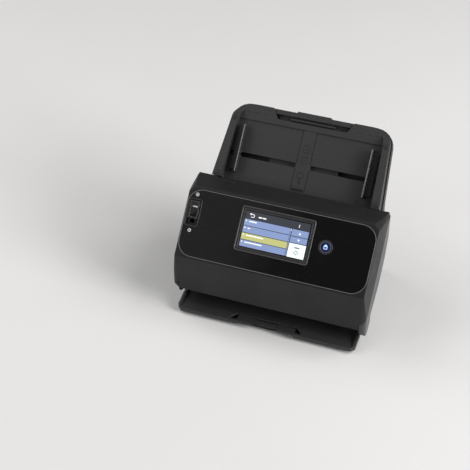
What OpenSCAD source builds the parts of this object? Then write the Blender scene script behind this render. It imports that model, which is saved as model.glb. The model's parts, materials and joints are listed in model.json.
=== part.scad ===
// Sheet-fed document scanner with a touch screen, a slanted straight paper path,
// an inclined feed tray and a pull-out eject tray. Millimetres, +Z up, front toward -Y.

/* [Overall] */
// Width over the two side covers
body_w = 291; // [275:1:305]
// Depth from the front of the eject tray to the back of the feed tray
overall_d = 245; // [238:1:258]
// Tilt of the paper path, the control panel and the feed tray from level
slant = 45; // [44:0.5:46]
// Height of the paper path above the table, at the path's origin
path_z = 130; // [128:0.5:134]
// Thickness of the moulded walls
wall = 2.5; // [2:0.1:3]

/* [Front unit] */
// Distance from the paper path to the face of the front unit
front_t = 64.5; // [61:0.5:68]
// Height of the side seam above the paper path
seam_w = 27; // [25:0.5:29]
// Distance of the vertical front face ahead of the path's origin
front_y = 119.5; // [118:0.5:121]
// Height of the lower edge of the vertical front face
lip_z = 38; // [37:0.5:42]
// Radius of the two vertical front corners
corner_r = 8; // [7:0.5:9]
// Radius of the two upper shoulders
shoulder_r = 20; // [16:0.5:22]
// Width of the slanted face beside the gloss panel
face_margin = 1.2; // [1:0.1:1.5]
// Distance up the path of the edge over the feed mouth
mouth_v = 23; // [21:0.5:24]

/* [Hinge] */
// Height of the front unit's hinge axis
pivot_z = 36; // [35:0.5:37]
// Radius of the rounded ears at the hinge
ear_r = 15.5; // [14.5:0.5:16]
// Radius of the hinge pins
pin_r = 3; // [2.5:0.25:3.5]

/* [Control panel] */
// Width of the gloss panel
panel_w = 279; // [276:1:280]
// Length of the gloss panel down the slope
panel_len = 98.5; // [94:0.5:99]
// Distance of the panel's upper edge below the crest
panel_top = 4; // [3.5:0.25:6]
// Corner radius of the gloss panel
panel_r = 22; // [16:1:26]
// Thickness of the gloss panel
panel_t = 2; // [1.6:0.1:2.4]
// Height of the gloss panel above the cover around it
panel_proud = 0.6; // [0.4:0.1:0.9]

/* [Screen] */
// Offset of the screen's centre from the middle of the panel
screen_x = -2.5; // [-6:0.5:2]
// Distance of the screen's centre below the panel's upper edge
screen_s = 41.5; // [40:0.5:44]
// Width of the visible screen
screen_w = 98; // [94:1:100]
// Height of the visible screen
screen_h = 54; // [51:1:56]
// Width of the bezel's frame on each side of the screen
bezel_rim = 5.5; // [4.5:0.5:6.5]
// Height of the bezel above the gloss panel
bezel_h = 1.4; // [1:0.1:2]

/* [Feed lever] */
// Distance of the lever's centre line left of the middle
lever_x = 127; // [126:0.5:128]
// Distance of the lever recess's centre below the panel's upper edge
lever_s = 34.7; // [32:0.5:38]
// Width of the lever recess
recess_w = 18; // [16:0.5:19]
// Length of the lever recess
recess_len = 38; // [36:0.5:42]
// Depth of the lever recess
recess_d = 5; // [4:0.5:6]
// Length of the lever's knob
lever_len = 25; // [22:0.5:26]

/* [Home button] */
// Distance of the button right of the middle
home_x = 72; // [68:0.5:76]
// Distance of the button's centre below the panel's upper edge
home_s = 42.6; // [40:0.5:45]
// Diameter of the button
home_d = 16; // [14:0.5:18]
// Width of the ring around the button
home_rim = 2; // [1.5:0.25:3]
// Travel of the button
home_travel = 0.8; // [0.6:0.1:1]

/* [Feed tray] */
// Distance of the tray's upper edge up the path
tray_top = 141; // [138:0.5:144]
// Distance of the tray's lower edge up the path
tray_low = 5; // [4.5:0.5:6]
// Width of the widest sheet between the document guides
sheet_w = 215; // [211:0.5:216]
// Room outside the sheet on each side at the tray's lower edge
tray_room_low = 20.5; // [19:0.5:22]
// Room outside the sheet on each side at the tray's upper edge
tray_room_top = 10.5; // [10:0.25:11.5]
// Radius of the tray's upper corners
tray_r = 25; // [18:1:28]
// Thickness of the tray's panel
tray_t = 3; // [2.5:0.1:3.5]
// Depth of the shell behind the tray's panel
tray_back_t = 15; // [14.5:0.5:18]
// Width of the tray's side walls at their lower ends
tray_wall_w_low = 13; // [12:0.5:14]
// Width of the tray's side walls at their upper ends
tray_wall_w_top = 9; // [8.5:0.1:9]
// Height of the side walls at the tray's lower edge
tray_wall_low = 20; // [17:0.5:22]
// Height of the side walls near the tray's upper edge
tray_wall_top = 10; // [8:0.5:12]
// Height of the band along the tray's upper edge
tray_band = 1.6; // [1:0.2:2.2]
// Half width of the rib down the middle of the tray
tray_rib_half = 9.5; // [8:0.5:10]

/* [Document guides] */
// Length of the guides
guide_len = 72; // [66:1:76]
// Distance of the guides' lower ends up the path
guide_v = 36; // [33:1:38]
// Height of the guides
guide_h = 12; // [10:0.5:14]
// Thickness of the guides' fences
guide_t = 2.2; // [1.8:0.1:2.3]
// Width of the guides' feet, outside the fences
guide_foot = 11; // [10:0.5:12]
// Distance of each guide inside its widest place, as it stands
guide_rest = 11.5; // [9:0.5:12]
// Distance of the guides' slot up the path
slot_v = 64; // [62:0.5:66]
// Height of the guides' slot
slot_h = 7; // [6:0.25:7.5]

/* [Feed extension] */
// Half width of the extension's grip
ext_half = 61; // [58:0.5:63]
// Half width of the inner extension's grip
tip_half = 25.5; // [23:0.5:28]
// Height of the grips along the tray's upper edge
grip_h = 7.5; // [6.5:0.25:8.5]
// Depth of the finger pocket below the tray's upper edge
pocket_h = 15.7; // [14:0.25:17]
// Travel of the extension, and of the inner one in it
ext_travel = 80; // [70:1:82]

/* [Eject tray] */
// Half width of the eject tray
eject_half = 135.4; // [132:0.2:136.5]
// Height of the eject tray's floor
eject_z = 10; // [9.8:0.1:10.4]
// Thickness of the eject tray's floor
eject_t = 2; // [1.8:0.1:2.1]
// Width of the eject tray's rims
eject_rim = 4; // [3:0.5:5]
// Height of the side rims over the floor where they end
eject_rise = 8; // [6:0.5:10]
// Half width of the finger pocket at its front
finger_half = 56; // [52:0.5:60]
// Half width of the eject extension
eject_ext_half = 44; // [40:0.5:46]
// Half width of the document stopper
stopper_half = 17; // [15:0.5:19]
// Travel of the eject tray
eject_travel = 90; // [80:1:94]
// Travel of the eject extension
eject_ext_travel = 105; // [95:1:110]

/* [Base] */
// Half width of the lower case and the rear cover
base_half = 124; // [122:0.5:126]
// Distance of the rear face behind the path's origin
back_y = 60; // [57:0.5:66]
// Height of the rubber feet
foot_h = 3; // [2.5:0.25:3.2]
// Radius of the rubber feet
foot_r = 8; // [6:0.5:9]
// Height of the joint between the lower case and the rear cover
split_z = 45; // [44:0.5:50]
// Thickness of the steel frame plates
frame_t = 1.5; // [1.2:0.1:2]
// Depth of the side covers outside the frame plates
cover_t = 8.5; // [8:0.25:9.5]

/* [Rollers] */
// Radius of the feed roller's tyres
feed_r = 10; // [9:0.25:10.5]
// Radius of the transport and eject rollers' tyres
roll_r = 7; // [6:0.25:7.5]
// Radius of the retard roller
retard_r = 9; // [8:0.25:10]
// Radius of the pinch rollers
pinch_r = 5; // [4.5:0.25:5.5]
// Radius of the roller shafts
shaft_r = 3; // [2.5:0.25:3.25]
// Distance of the feed roller down the path
feed_v = 44; // [43:0.5:46]
// Distance of the transport roller down the path
transport_v = 72; // [71:0.5:73]
// Distance of the eject roller down the path
eject_v = 124; // [123:0.5:125]
// Width of a tyre
tyre_w = 14; // [12:0.5:18]
// Radius of the rollers' pulleys
pulley_r = 5; // [4.5:0.25:5]
// Radius of the motor's pulley
motor_pulley_r = 3.5; // [3:0.25:4]
// Radius of the motor
motor_r = 12; // [11:0.25:12]

/* [Fits] */
// Gap at a joint line between two covers
seam_gap = 0.5; // [0.4:0.05:0.6]
// Radial gap between a shaft and its bearing
run_fit = 0.05; // [0.03:0.01:0.08]
// Gap around sliding pieces
slide_gap = 0.4; // [0.3:0.05:0.5]
// Clearance between facing rollers, where a sheet runs
nip_gap = 0.6; // [0.5:0.05:0.8]

/* [Hidden] */
$fn = 64;

// Places along the width
half_w = body_w / 2;
face_half = panel_w / 2 + face_margin;
lean_w = seam_w + 2;
cover_in = half_w - cover_t;
frame_out = cover_in;
frame_in = frame_out - frame_t;
unit_half = frame_in - seam_gap - 0.1;
sheet_half = sheet_w / 2 + 2.5;
guide_x = sheet_w / 2 - guide_rest;
tray_half_low = sheet_w / 2 + tray_room_low;
tray_half_top = sheet_w / 2 + tray_room_top;

// The path's origin lies so that the whole object is centred in depth
path_y = overall_d / 2 - tray_top * cos(slant) - (tray_t + tray_back_t) * sin(slant);
eject_front = -overall_d / 2 - path_y;
pivot_y = ear_r - front_y;

// Paper path: the sheet runs at height 0, the plates stand off it
plate_t = 2.5;
plate_top = -0.5;
plate_low = plate_top - plate_t;
upper_plate_low = 0.8;
upper_plate_t = 2.2;
upper_plate_top = upper_plate_low + upper_plate_t;
path_end = 141;
guide_plate_half = sheet_half + 8;
roll_top = -0.2;
nip_top = roll_top + nip_gap;
tyre_places = [-85, -35, 35, 85];
feed_tyre_x = 17;
feed_tyre_w = 22;
window_gap = 1.5;

// Image sensors and their glass
sensor_len = 12;
sensor_depth = 13;
glass_len = 8;
rear_sensor_v = 90;
front_sensor_v = 104;
sensor_half = sheet_half + 2;

// Side covers: heel and back corners of their outline
heel = [-25, 38];
back = [-6, 106];
cover_top_v = 19;
belly_front = -86;
frame_inset = 1.5;

// Drive
motor_vw = [-84, -28.6];
motor_len = 30;
motor_shaft_r = 2;
belt_t = 1.2;
belt_gap = 0.3;
pulley_out = frame_in - 0.6;
pulley_w = 4.6;
motor_face = pulley_out - pulley_w - 2;
belt_inset = 0.4;

// Front unit openings and parts
panel_mid = -panel_top - panel_len / 2;
panel_face = front_t + panel_proud;
glass_t = 1;
module_t = 5;
board_t = 1.6;
post_places = [[-108, -20], [108, -20], [-108, -88], [108, -88]];
post_r = 4;
lug_t = 3;
lug_margin = 3;
ear_hub_r = 8;
ear_len = 14;

// Tray shell, extension plates and guide racks lie in layers behind the panel
rack_top = -tray_t - 0.3;
rack_t = 2.5;
ext_top = rack_top - rack_t - 0.5;
ext_t = 2.2;
tip_top = ext_top - ext_t - 0.5;
ext_low_v = 42;
pinion_r = 6;
pinion_teeth = 12;
tooth_pitch = 2 * PI * pinion_r / pinion_teeth;
tooth_h = 1;
rack_back = 4;
pocket_slope = 8.5;
foot_t = 1.6;

// Eject tray
eject_shoulder = -80;
eject_back = 44;
eject_inner_half = base_half - 12;
lip_low = foot_h + 1.8;
floor_top = foot_h + wall;
ext_floor = floor_top + 0.3;
eject_ext_t = eject_z - eject_t - 0.3 - ext_floor;
finger_front = eject_front + eject_rim + 0.6;
finger_len = 11;
finger_slope = 9.5;
stopper_len = 8;
eject_ext_len = 148;
hole_x = 76.4;
stopper_pin_r = 0.9;
case_front = -75;
tongue_front = -112;
tongue_half = base_half - 16;
rail_in = eject_inner_half - 6;

// Sockets in the rear wall: x, width, height
socket_pitch = 28;
dc_x = 38 - base_half;
usb_x = dc_x + socket_pitch;
lan_x = usb_x + socket_pitch;
socket_z = eject_z + slide_gap + 2;
board_back = back_y - wall - 1;

// Points and outlines

// Point of the side view at v up the path and w off it
function pt(v, w) = [v * cos(slant) - w * sin(slant), path_z + v * sin(slant) + w * cos(slant)];
function path_v(p) = p.x * cos(slant) + (p.y - path_z) * sin(slant);
function path_w(p) = -p.x * sin(slant) + (p.y - path_z) * cos(slant);
function unit(a) = a / norm(a);
function arc(c, r, from, to, n = 10) = [
  for (i = [0:n]) c + r * [cos(from + (to - from) * i / n), sin(from + (to - from) * i / n)]
];
function angle_of(p) = atan2(p.y, p.x);

// Arc that rounds the corner at p between the points before and after it
function corner(before, p, after, r, n = 6) =
  let (
    a = unit(before - p),
    b = unit(after - p),
    half = acos(a * b) / 2,
    c = p + unit(a + b) * r / sin(half),
    from = angle_of(p + a * r / tan(half) - c),
    turn = (angle_of(p + b * r / tan(half) - c) - from + 540) % 360 - 180
  )
  arc(c, r, from, from + turn, n);

// Outline with the corners of radius above zero rounded
function rounded(pts, radii) =
  let (n = len(pts))
  [
    for (i = [0:n - 1])
      each radii[i] > 0 ? corner(pts[(i + n - 1) % n], pts[i], pts[(i + 1) % n], radii[i]) : [pts[i]]
  ];

function side_of(a, b, d) = let (t = unit(b - a), out = [t.y, -t.x]) [a + out * d, b + out * d];
function meet(l, m) =
  let (u = l[1] - l[0], s = m[1] - m[0])
  l[0] + u * cross(m[0] - l[0], s) / cross(u, s);

// Outline, listed clockwise, drawn in by the distance d[i] along the edge that starts at point i
function drawn_in(pts, d) =
  let (n = len(pts))
  [for (i = [0:n - 1]) let (k = (i + n - 1) % n)
    meet(side_of(pts[k], pts[i], d[k]), side_of(pts[i], pts[(i + 1) % n], d[i]))];

// Frames and building blocks

module at_origin() {
  translate([0, path_y, 0]) children();
}

module on_path() {
  translate([0, path_y, path_z]) rotate([slant, 0, 0]) children();
}

// Side-view outline drawn out from x0 to x1
module prism(pts, x0, x1) {
  translate([x0, 0, 0]) rotate([90, 0, 90]) linear_extrude(x1 - x0) polygon(pts);
}

module box(x0, x1, y0, y1, z0, z1) {
  translate([x0, y0, z0]) cube([x1 - x0, y1 - y0, z1 - z0]);
}

// Box on the right for s above zero, or mirrored to the left
module box_side(s, x0, x1, y0, y1, z0, z1) {
  box(s > 0 ? x0 : -x1, s > 0 ? x1 : -x0, y0, y1, z0, z1);
}

// Rod along X about the point p of the side view
module rod(p, r, x0, x1) {
  translate([x0, p.x, p.y]) rotate([0, 90, 0]) cylinder(r = r, h = x1 - x0);
}

module both_sides() {
  children();
  mirror([1, 0, 0]) children();
}

module rounded_plate(w, h, r) {
  square([w - 2 * r, h], center = true);
  square([w, h - 2 * r], center = true);
  for (x = [-1, 1], y = [-1, 1]) translate([x * (w / 2 - r), y * (h / 2 - r)]) circle(r);
}

// Rounded plate on the front unit's face, s below the panel's upper edge
module on_face(x, s, z) {
  on_path() translate([x, -panel_top - s, z]) children();
}

// Plan of the body with its rounded front corners, drawn in by d
module plan_outline(d) {
  deep = 2 * front_y;
  half = half_w - d;
  r = corner_r - d;
  at_origin() translate([0, d - front_y, 0]) linear_extrude(2 * path_z) {
    translate([-half, r]) square([2 * half, deep]);
    translate([r - half, 0]) square([2 * (half - r), deep]);
    for (x = [-1, 1]) translate([x * (half - r), r]) circle(r);
  }
}

// End view of a slab of half width and height, with two rounded upper corners
module shouldered(half, z, r) {
  translate([-half, -z]) square([2 * half, 2 * z - r]);
  translate([r - half, -z]) square([2 * (half - r), 2 * z]);
  for (x = [-1, 1]) translate([x * (half - r), z - r]) circle(r);
}

// End view of the front unit, whose sides lean in from lean_w to the half width of its face
module leaning(half, face, z) {
  edge = 0.6;
  polygon(
    [
      [-half, -z], [half, -z], [half, lean_w], [face, z - edge], [face - edge, z],
      [edge - face, z], [-face, z - edge], [-half, lean_w]
    ]
  );
}

// Front unit outline in the side view

crest = pt(0, front_t);
mouth = pt(mouth_v, seam_w + seam_gap);
face_low = pt((front_t * sin(slant) - front_y) / cos(slant), front_t);
pivot = [pivot_y, pivot_z];
pivot_w = path_w(pivot);
pivot_v = path_v(pivot);

// Where the joint line of radius r about the hinge meets the front face and a seam at height w
function swing_front(r) = pivot + [-ear_r, sqrt(r * r - ear_r * ear_r)];
function swing_seam(r, w) = pt(pivot_v + sqrt(r * r - (w - pivot_w) * (w - pivot_w)), w);
function swing_arc(r, w) =
  arc(pivot, r, angle_of(swing_front(r) - pivot), angle_of(swing_seam(r, w) - pivot), 8);

// Joint line that just clears the seam while the front unit turns
swing_clear = 0.8;
swing_r = seam_w + seam_gap - pivot_w + swing_clear;
unit_low = swing_front(swing_r);
unit_seam = swing_seam(swing_r, seam_w + seam_gap);
crest_r = 6;
brow_r = 4;
unit_outline = concat(
  [mouth],
  swing_seam_reversed(),
  corner(unit_low, face_low, crest, brow_r),
  corner(face_low, crest, mouth, crest_r)
);
function swing_seam_reversed() =
  let (a = swing_arc(swing_r, seam_w + seam_gap)) [for (i = [len(a) - 1:-1:0]) a[i]];

// Sharp outline of the front unit's hollow, open below the seam
open_by = -8;
unit_hollow = drawn_in(
  [mouth, unit_seam, unit_low, face_low, crest],
  [open_by, open_by, wall, wall, wall]
);

// Side cover outline in the side view
cover_swing_r = swing_r - seam_gap;
heel_slope = angle_of(heel - pivot + [0, ear_r]);
cover_top = pt(cover_top_v, seam_w);
plate_outline = concat(
  swing_arc(cover_swing_r, seam_w),
  [cover_top, back, heel],
  arc(pivot, ear_r, heel_slope - 90, -180)
);
flank = [back + [0.5, 18], pt(-40, -11.5), pt(-80, -13), pivot + [ear_r, 6]];
cover_outline = concat(
  swing_arc(cover_swing_r, seam_w),
  [cover_top],
  flank,
  arc(pivot, ear_r, -15, -180)
);
function drawn_evenly(pts, d) = drawn_in(pts, [for (p = pts) d]);

// On the left the front unit wraps around the hinge, down to wrap_z
wrap_z = 43;
wrap_in = frame_out + 0.6;
wrap_end = asin((wrap_z - pivot_z) / cover_swing_r);
wrap_start = angle_of(swing_seam(cover_swing_r, seam_w + seam_gap) - pivot);
left_outline = concat(
  [mouth],
  arc(pivot, cover_swing_r, wrap_start, wrap_end),
  [[-front_y, wrap_z]],
  corner(unit_low, face_low, crest, brow_r),
  corner(face_low, crest, mouth, crest_r)
);

// Top of the narrow rear wings, under the lower guide plate, and the tray shell's end above it
wing_top = path_z + (back.x - wall) * tan(slant) + plate_low / cos(slant);
tray_back_low = path_v([back.x, wing_top]) + 1.2;

// Inner face of the rear wings at height z
function wing_y(z) = heel.x - wall + (z - heel.y) * (back.x - heel.x) / (back.y - heel.y);

// Height of the belly's underside at y
function belly_z(y) =
  let (low = pivot + ear_r * [cos(heel_slope - 90), sin(heel_slope - 90)])
    low.y + (heel.y - low.y) * (y - low.x) / (heel.x - low.x);

// Roller axes in path places and in the side view
feed_axis = [-feed_v, roll_top - feed_r];
transport_axis = [-transport_v, roll_top - roll_r];
eject_axis = [-eject_v, roll_top - roll_r];
retard_axis = [-feed_v, nip_top + retard_r];
transport_pinch_axis = [-transport_v, nip_top + pinch_r];
eject_pinch_axis = [-eject_v, nip_top + pinch_r];

// Half width of the feed tray at v
function tray_half(v) =
  tray_half_low + (tray_half_top - tray_half_low) * (v - tray_low) / (tray_top - tray_low);

// Plan of the tray from v = low up, widened by grow_low and grow_top
module tray_outline(low, grow_low, grow_top) {
  low_half = tray_half(low) + grow_low;
  top_half = tray_half(tray_top) + grow_top;
  polygon(rounded(
    [[-low_half, low], [-top_half, tray_top], [top_half, tray_top], [low_half, low]],
    [0, tray_r, tray_r, 0]
  ));
}

// Base

module lower_case() {
  color("#1d1d1f") at_origin() {
    difference() {
      union() {
        box(-base_half, base_half, case_front, back_y, foot_h, floor_top);
        box(-tongue_half, tongue_half, tongue_front, case_front + 1, foot_h, floor_top);
        both_sides() prism(
          [
            [case_front, foot_h],
            [back_y, foot_h],
            [back_y, split_z],
            [wing_y(split_z), split_z],
            [wing_y(heel.y + wall), heel.y + wall],
            [heel.x, heel.y + wall],
            heel,
            [case_front, belly_z(case_front)]
          ],
          base_half - wall, base_half
        );
        box(-base_half, base_half, back_y - wall, back_y, foot_h, split_z);
        both_sides() box(rail_in, base_half, case_front, board_back, eject_z + slide_gap, socket_z);
      }
      socket_cuts();
      screw_shanks();
    }
  }
}

module socket_cuts() {
  translate([dc_x, back_y, socket_z + board_t + dc_size / 2]) rotate([90, 0, 0])
    cylinder(r = dc_size / 2, h = 3 * wall, center = true);
  translate([usb_x - usb_w / 2, back_y - 2 * wall, socket_z + board_t]) cube([usb_w, 4 * wall, usb_h]);
  translate([lan_x - lan_w / 2, back_y - 2 * wall, socket_z + board_t]) cube([lan_w, 4 * wall, lan_h]);
}

module rear_cover() {
  shell_top = path_z - (tray_t + tray_back_t) / cos(slant);
  top_front = meet([heel - [wall, 0], back - [wall, 0]], [[0, shell_top], [1, shell_top + tan(slant)]]);
  outer = [
    [wing_y(split_z), split_z], top_front, [back_y, shell_top + back_y * tan(slant)],
    [back_y, split_z]
  ];
  color("#1d1d1f") at_origin() difference() {
    prism(outer, -base_half, base_half);
    prism(drawn_in(outer, [open_by, wall, wall, open_by]), wall - base_half, base_half - wall);
    screw_shanks();
    vent_slots();
  }
}

// Vent slots in the rear wall
vent_count = 9;
vent_pitch = 8;
vent_size = [60, 3];
vent_z = 90;
module vent_slots() {
  for (i = [0:vent_count - 1])
    translate(
      [base_half / 2 - vent_size.x / 2, back_y - 2 * wall, vent_z + (i - vent_count / 2) * vent_pitch / 2]
    )
    cube([vent_size.x, 4 * wall, vent_size.y / 2]);
}

module belly_cover() {
  front_end = [belly_front, belly_z(belly_front)];
  motor = pt(motor_vw.x, motor_vw.y);
  cradle_half = motor_r / 2;
  rise = [0, wall];
  step = [wall, 0];
  color("#1b1b1d") at_origin() {
    prism([heel, front_end, front_end + rise, heel + rise], -frame_in, frame_in);
    both_sides() prism(
      [heel, back, [back.x, wing_top], [back.x - wall, wing_top], back - step, heel - step],
      base_half, frame_in
    );
    difference() {
      prism(
        [
          [motor.x - cradle_half, belly_z(motor.x - cradle_half) + wall / 2],
          [motor.x + cradle_half, belly_z(motor.x + cradle_half) + wall / 2],
          [motor.x + cradle_half, motor.y - cradle_half],
          [motor.x - cradle_half, motor.y - cradle_half]
        ],
        2 - motor_face, motor_len - motor_face - 2
      );
      rod(motor, motor_r, -half_w, 0);
    }
  }
}

// One side cover, for the right side: a thin plate and an outer bulge
module side_cover() {
  skirt = 2.3;
  intersection() {
    difference() {
      at_origin() union() {
        prism(plate_outline, cover_in, cover_in + skirt);
        prism(cover_outline, cover_in, half_w);
      }
      intersection() {
        at_origin() prism(drawn_evenly(cover_outline, wall), cover_in + skirt, half_w - wall);
        plan_outline(wall);
      }
    }
    plan_outline(0);
  }
}

module right_side_cover() {
  color("#333336") side_cover();
}

module left_side_cover() {
  color("#333336") difference() {
    mirror([1, 0, 0]) side_cover();
    at_origin() rod(pivot, swing_r, -half_w - 1, 0);
  }
}

// One steel plate with its bearings, for the right side
module frame_plate() {
  difference() {
    intersection() {
      at_origin() prism(drawn_evenly(plate_outline, frame_inset), frame_in, frame_out);
      plan_outline(frame_inset);
    }
    on_path() for (axis = [feed_axis, transport_axis, eject_axis])
      rod(axis, shaft_r + run_fit, 0, half_w);
    at_origin() rod(pivot, pin_r, 0, half_w);
  }
}

module right_frame() {
  color("#a8abad") frame_plate();
}

// The left plate's ear is cut short where the front unit wraps around the hinge
module left_frame() {
  ear = 9;
  color("#a8abad") difference() {
    mirror([1, 0, 0]) frame_plate();
    at_origin() {
      box(-half_w, 0, -2 * front_y, pivot_y - ear, 0, wrap_z);
      box(-half_w, 0, -2 * front_y, pivot_y, 0, pivot_z - ear);
    }
  }
}

module tyre_windows(low, high) {
  for (x = tyre_places, v = [-transport_v, -eject_v]) box(
    x - tyre_w / 2 - window_gap, x + tyre_w / 2 + window_gap, v - roll_r - window_gap,
    v + roll_r + window_gap, low, high
  );
}

module lower_guide_plate() {
  narrow_v = -path_end + 11;
  top_v = tray_low - seam_gap;
  ear = 24;
  low_ear_v = -rear_sensor_v - sensor_len;
  low_ear = 10;
  color("#2a2a2c") on_path() difference() {
    union() {
      box(-guide_plate_half, guide_plate_half, narrow_v, top_v, plate_low, plate_top);
      box(-frame_in, frame_in, top_v - ear, top_v, plate_low, plate_top);
      box(0, frame_in, low_ear_v - low_ear, low_ear_v, plate_low, plate_top);
      box(-eject_inner_half, eject_inner_half, -path_end, narrow_v + 1, plate_low, plate_top);
    }
    tyre_windows(plate_low - 1, 1);
    both_sides() box(
      feed_tyre_x - feed_tyre_w / 2 - window_gap, feed_tyre_x + feed_tyre_w / 2 + window_gap,
      -feed_v - feed_r - window_gap, -feed_v + feed_r + window_gap, plate_low - 1, 1
    );
    box(
      -sheet_half, sheet_half, -rear_sensor_v - glass_len / 2, -rear_sensor_v + glass_len / 2,
      plate_low - 1, 1
    );
  }
}

module rear_sensor() {
  color("#3a3a3d") on_path() box(
    -sensor_half, sensor_half, -rear_sensor_v - sensor_len / 2, -rear_sensor_v + sensor_len / 2,
    plate_low - sensor_depth, plate_low
  );
}

module rear_glass() {
  color("#bcd3d6") on_path() box(
    -sheet_half, sheet_half, -rear_sensor_v - glass_len / 2, -rear_sensor_v + glass_len / 2,
    plate_low, plate_top
  );
}

module left_hinge_pin() {
  color("#c9ccce") mirror([1, 0, 0]) hinge_pin();
}

module right_hinge_pin() {
  color("#c9ccce") hinge_pin();
}

module hinge_pin() {
  at_origin() rod(pivot, pin_r, unit_half - ear_len, frame_out);
}

// Sockets: width and height of each, and how deep they reach onto the board
dc_size = 9;
dc_bore = 5.5;
usb_w = 12;
usb_h = 11;
lan_w = 16;
lan_h = 13.5;
socket_depth = 16;
socket_wall = 1;

module main_board() {
  color("#1f5a3a") at_origin()
    box(-eject_inner_half, eject_inner_half, heel.x, board_back, socket_z, socket_z + board_t);
}

module dc_jack() {
  color("#111113") at_origin() translate([dc_x, back_y, socket_z + board_t + dc_size / 2])
    rotate([90, 0, 0]) {
    difference() {
      cylinder(r = dc_size / 2, h = socket_depth);
      translate([0, 0, -1]) cylinder(r = dc_bore / 2, h = socket_depth - 3);
    }
    cylinder(r = 0.9, h = socket_depth - 3);
  }
}

// Square socket with an open face toward the rear
module socket_shell(x, w, h) {
  at_origin() translate([x - w / 2, back_y - socket_depth, socket_z + board_t]) difference() {
    cube([w, socket_depth, h]);
    translate([socket_wall, socket_depth / 3, socket_wall])
      cube([w - 2 * socket_wall, socket_depth, h - 2 * socket_wall]);
  }
}

module usb_port() {
  color("#b9bcc0") socket_shell(usb_x, usb_w, usb_h);
}

module lan_port() {
  color("#b9bcc0") socket_shell(lan_x, lan_w, lan_h);
}

foot_front = -100;
foot_back = 42;
module rubber_feet() {
  color("#101011") at_origin() for (x = [-1, 1], y = [foot_front, foot_back])
    translate([x * (tongue_half - foot_r - 2), y, 0]) cylinder(r = foot_r, h = foot_h);
}

screw_r = 1.5;
screw_head_r = 3;
screw_head_t = 1.4;
screw_x = base_half - 14;
screw_places = [for (x = [-screw_x, screw_x], z = [25, 60, 130]) [x, z]];
module screw_shanks() {
  for (p = screw_places) translate([p.x, back_y, p.y]) rotate([90, 0, 0])
    cylinder(r = screw_r, h = 3 * wall, center = true);
}

module case_screws() {
  color("#8d9092") at_origin() for (p = screw_places) translate([p.x, back_y, p.y]) rotate([90, 0, 0]) {
    cylinder(r = screw_r, h = 2 * wall);
    translate([0, 0, -screw_head_t]) cylinder(r = screw_head_r, h = screw_head_t);
  }
}

// Drive and rollers

module drive_motor() {
  color("#77797c") on_path() difference() {
    rod(motor_vw, motor_r, -motor_face, motor_len - motor_face);
    rod(motor_vw, motor_shaft_r + run_fit, -motor_face - 1, motor_len / 2 - motor_face);
  }
}

// Pulley on the left end of a shaft, inside the frame plate
module pulley(axis, r) {
  on_path() rod(axis, r, -pulley_out, pulley_w - pulley_out);
}

module motor_pulley() {
  color("#c9ccce") {
    pulley(motor_vw, motor_pulley_r);
    on_path() rod(motor_vw, motor_shaft_r, -pulley_out, motor_len / 3 - motor_face);
  }
}

module belt_loop(grow) {
  hull() {
    for (axis = [feed_axis, transport_axis, eject_axis]) translate(axis)
      circle(pulley_r + grow, $fn = 32);
    translate(motor_vw) circle(motor_pulley_r + grow, $fn = 32);
  }
}

module timing_belt() {
  color("#151516") on_path() translate([belt_inset - pulley_out, 0, 0]) rotate([90, 0, 90])
    linear_extrude(pulley_w - 2 * belt_inset)
    difference() {
      belt_loop(belt_gap + belt_t);
      belt_loop(belt_gap);
    }
}

end_gap = 0.2;
module driven_shaft(axis) {
  pulley(axis, pulley_r);
  on_path() rod(axis, shaft_r, end_gap - frame_out, frame_out - end_gap);
}

module tyres(axis, r, bore, places, w) {
  on_path() for (x = places) difference() {
    rod(axis, r, x - w / 2, x + w / 2);
    rod(axis, bore, x - w / 2 - 1, x + w / 2 + 1);
  }
}

module feed_roller() {
  color("#c9ccce") driven_shaft(feed_axis);
}

module feed_tyres() {
  color("#3d4a58") tyres(feed_axis, feed_r, shaft_r, [-feed_tyre_x, feed_tyre_x], feed_tyre_w);
}

module transport_roller() {
  color("#c9ccce") driven_shaft(transport_axis);
}

module transport_tyres() {
  color("#3d4a58") tyres(transport_axis, roll_r, shaft_r, tyre_places, tyre_w);
}

module eject_roller() {
  color("#c9ccce") driven_shaft(eject_axis);
}

module eject_tyres() {
  color("#3d4a58") tyres(eject_axis, roll_r, shaft_r, tyre_places, tyre_w);
}

retard_half = 14;
retard_shaft_half = 24;
idle_shaft_r = 2;
pinch_shaft_half = 103;
module retard_roller() {
  color("#3d4a58") on_path() {
    rod(retard_axis, retard_r, -retard_half, retard_half);
    rod(retard_axis, idle_shaft_r, -retard_shaft_half, retard_shaft_half);
  }
}

module pinch_roller(axis) {
  on_path() {
    rod(axis, idle_shaft_r, -pinch_shaft_half, pinch_shaft_half);
    for (x = tyre_places) rod(axis, pinch_r, x - tyre_w / 2, x + tyre_w / 2);
  }
}

module transport_pinch() {
  color("#d7d9da") pinch_roller(transport_pinch_axis);
}

module eject_pinch() {
  color("#d7d9da") pinch_roller(eject_pinch_axis);
}

// Front unit

shoulder_over = 0.3;
module unit_envelope() {
  deep = 4 * front_y;
  intersection() {
    at_origin() union() {
      prism(unit_outline, -wrap_in, half_w);
      prism(left_outline, -half_w, -wrap_in);
    }
    plan_outline(0);
    at_origin() rotate([90, 0, 0]) linear_extrude(deep, center = true)
      shouldered(half_w + shoulder_over, crest.y, shoulder_r);
    on_path() rotate([90, 0, 0]) linear_extrude(deep, center = true)
      leaning(half_w, face_half, front_t);
  }
}

// Hollow of the front unit, one wall inside its rounded outlines
module unit_hollow_space() {
  intersection() {
    at_origin() prism(unit_hollow, wall - half_w, half_w - wall);
    plan_outline(wall);
    at_origin() rotate([90, 0, 0]) linear_extrude(4 * front_y, center = true)
      shouldered(half_w - wall, crest.y - wall, shoulder_r - wall);
    on_path() rotate([90, 0, 0]) linear_extrude(4 * front_y, center = true)
      leaning(half_w - wall, face_half - wall, front_t);
  }
}

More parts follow.
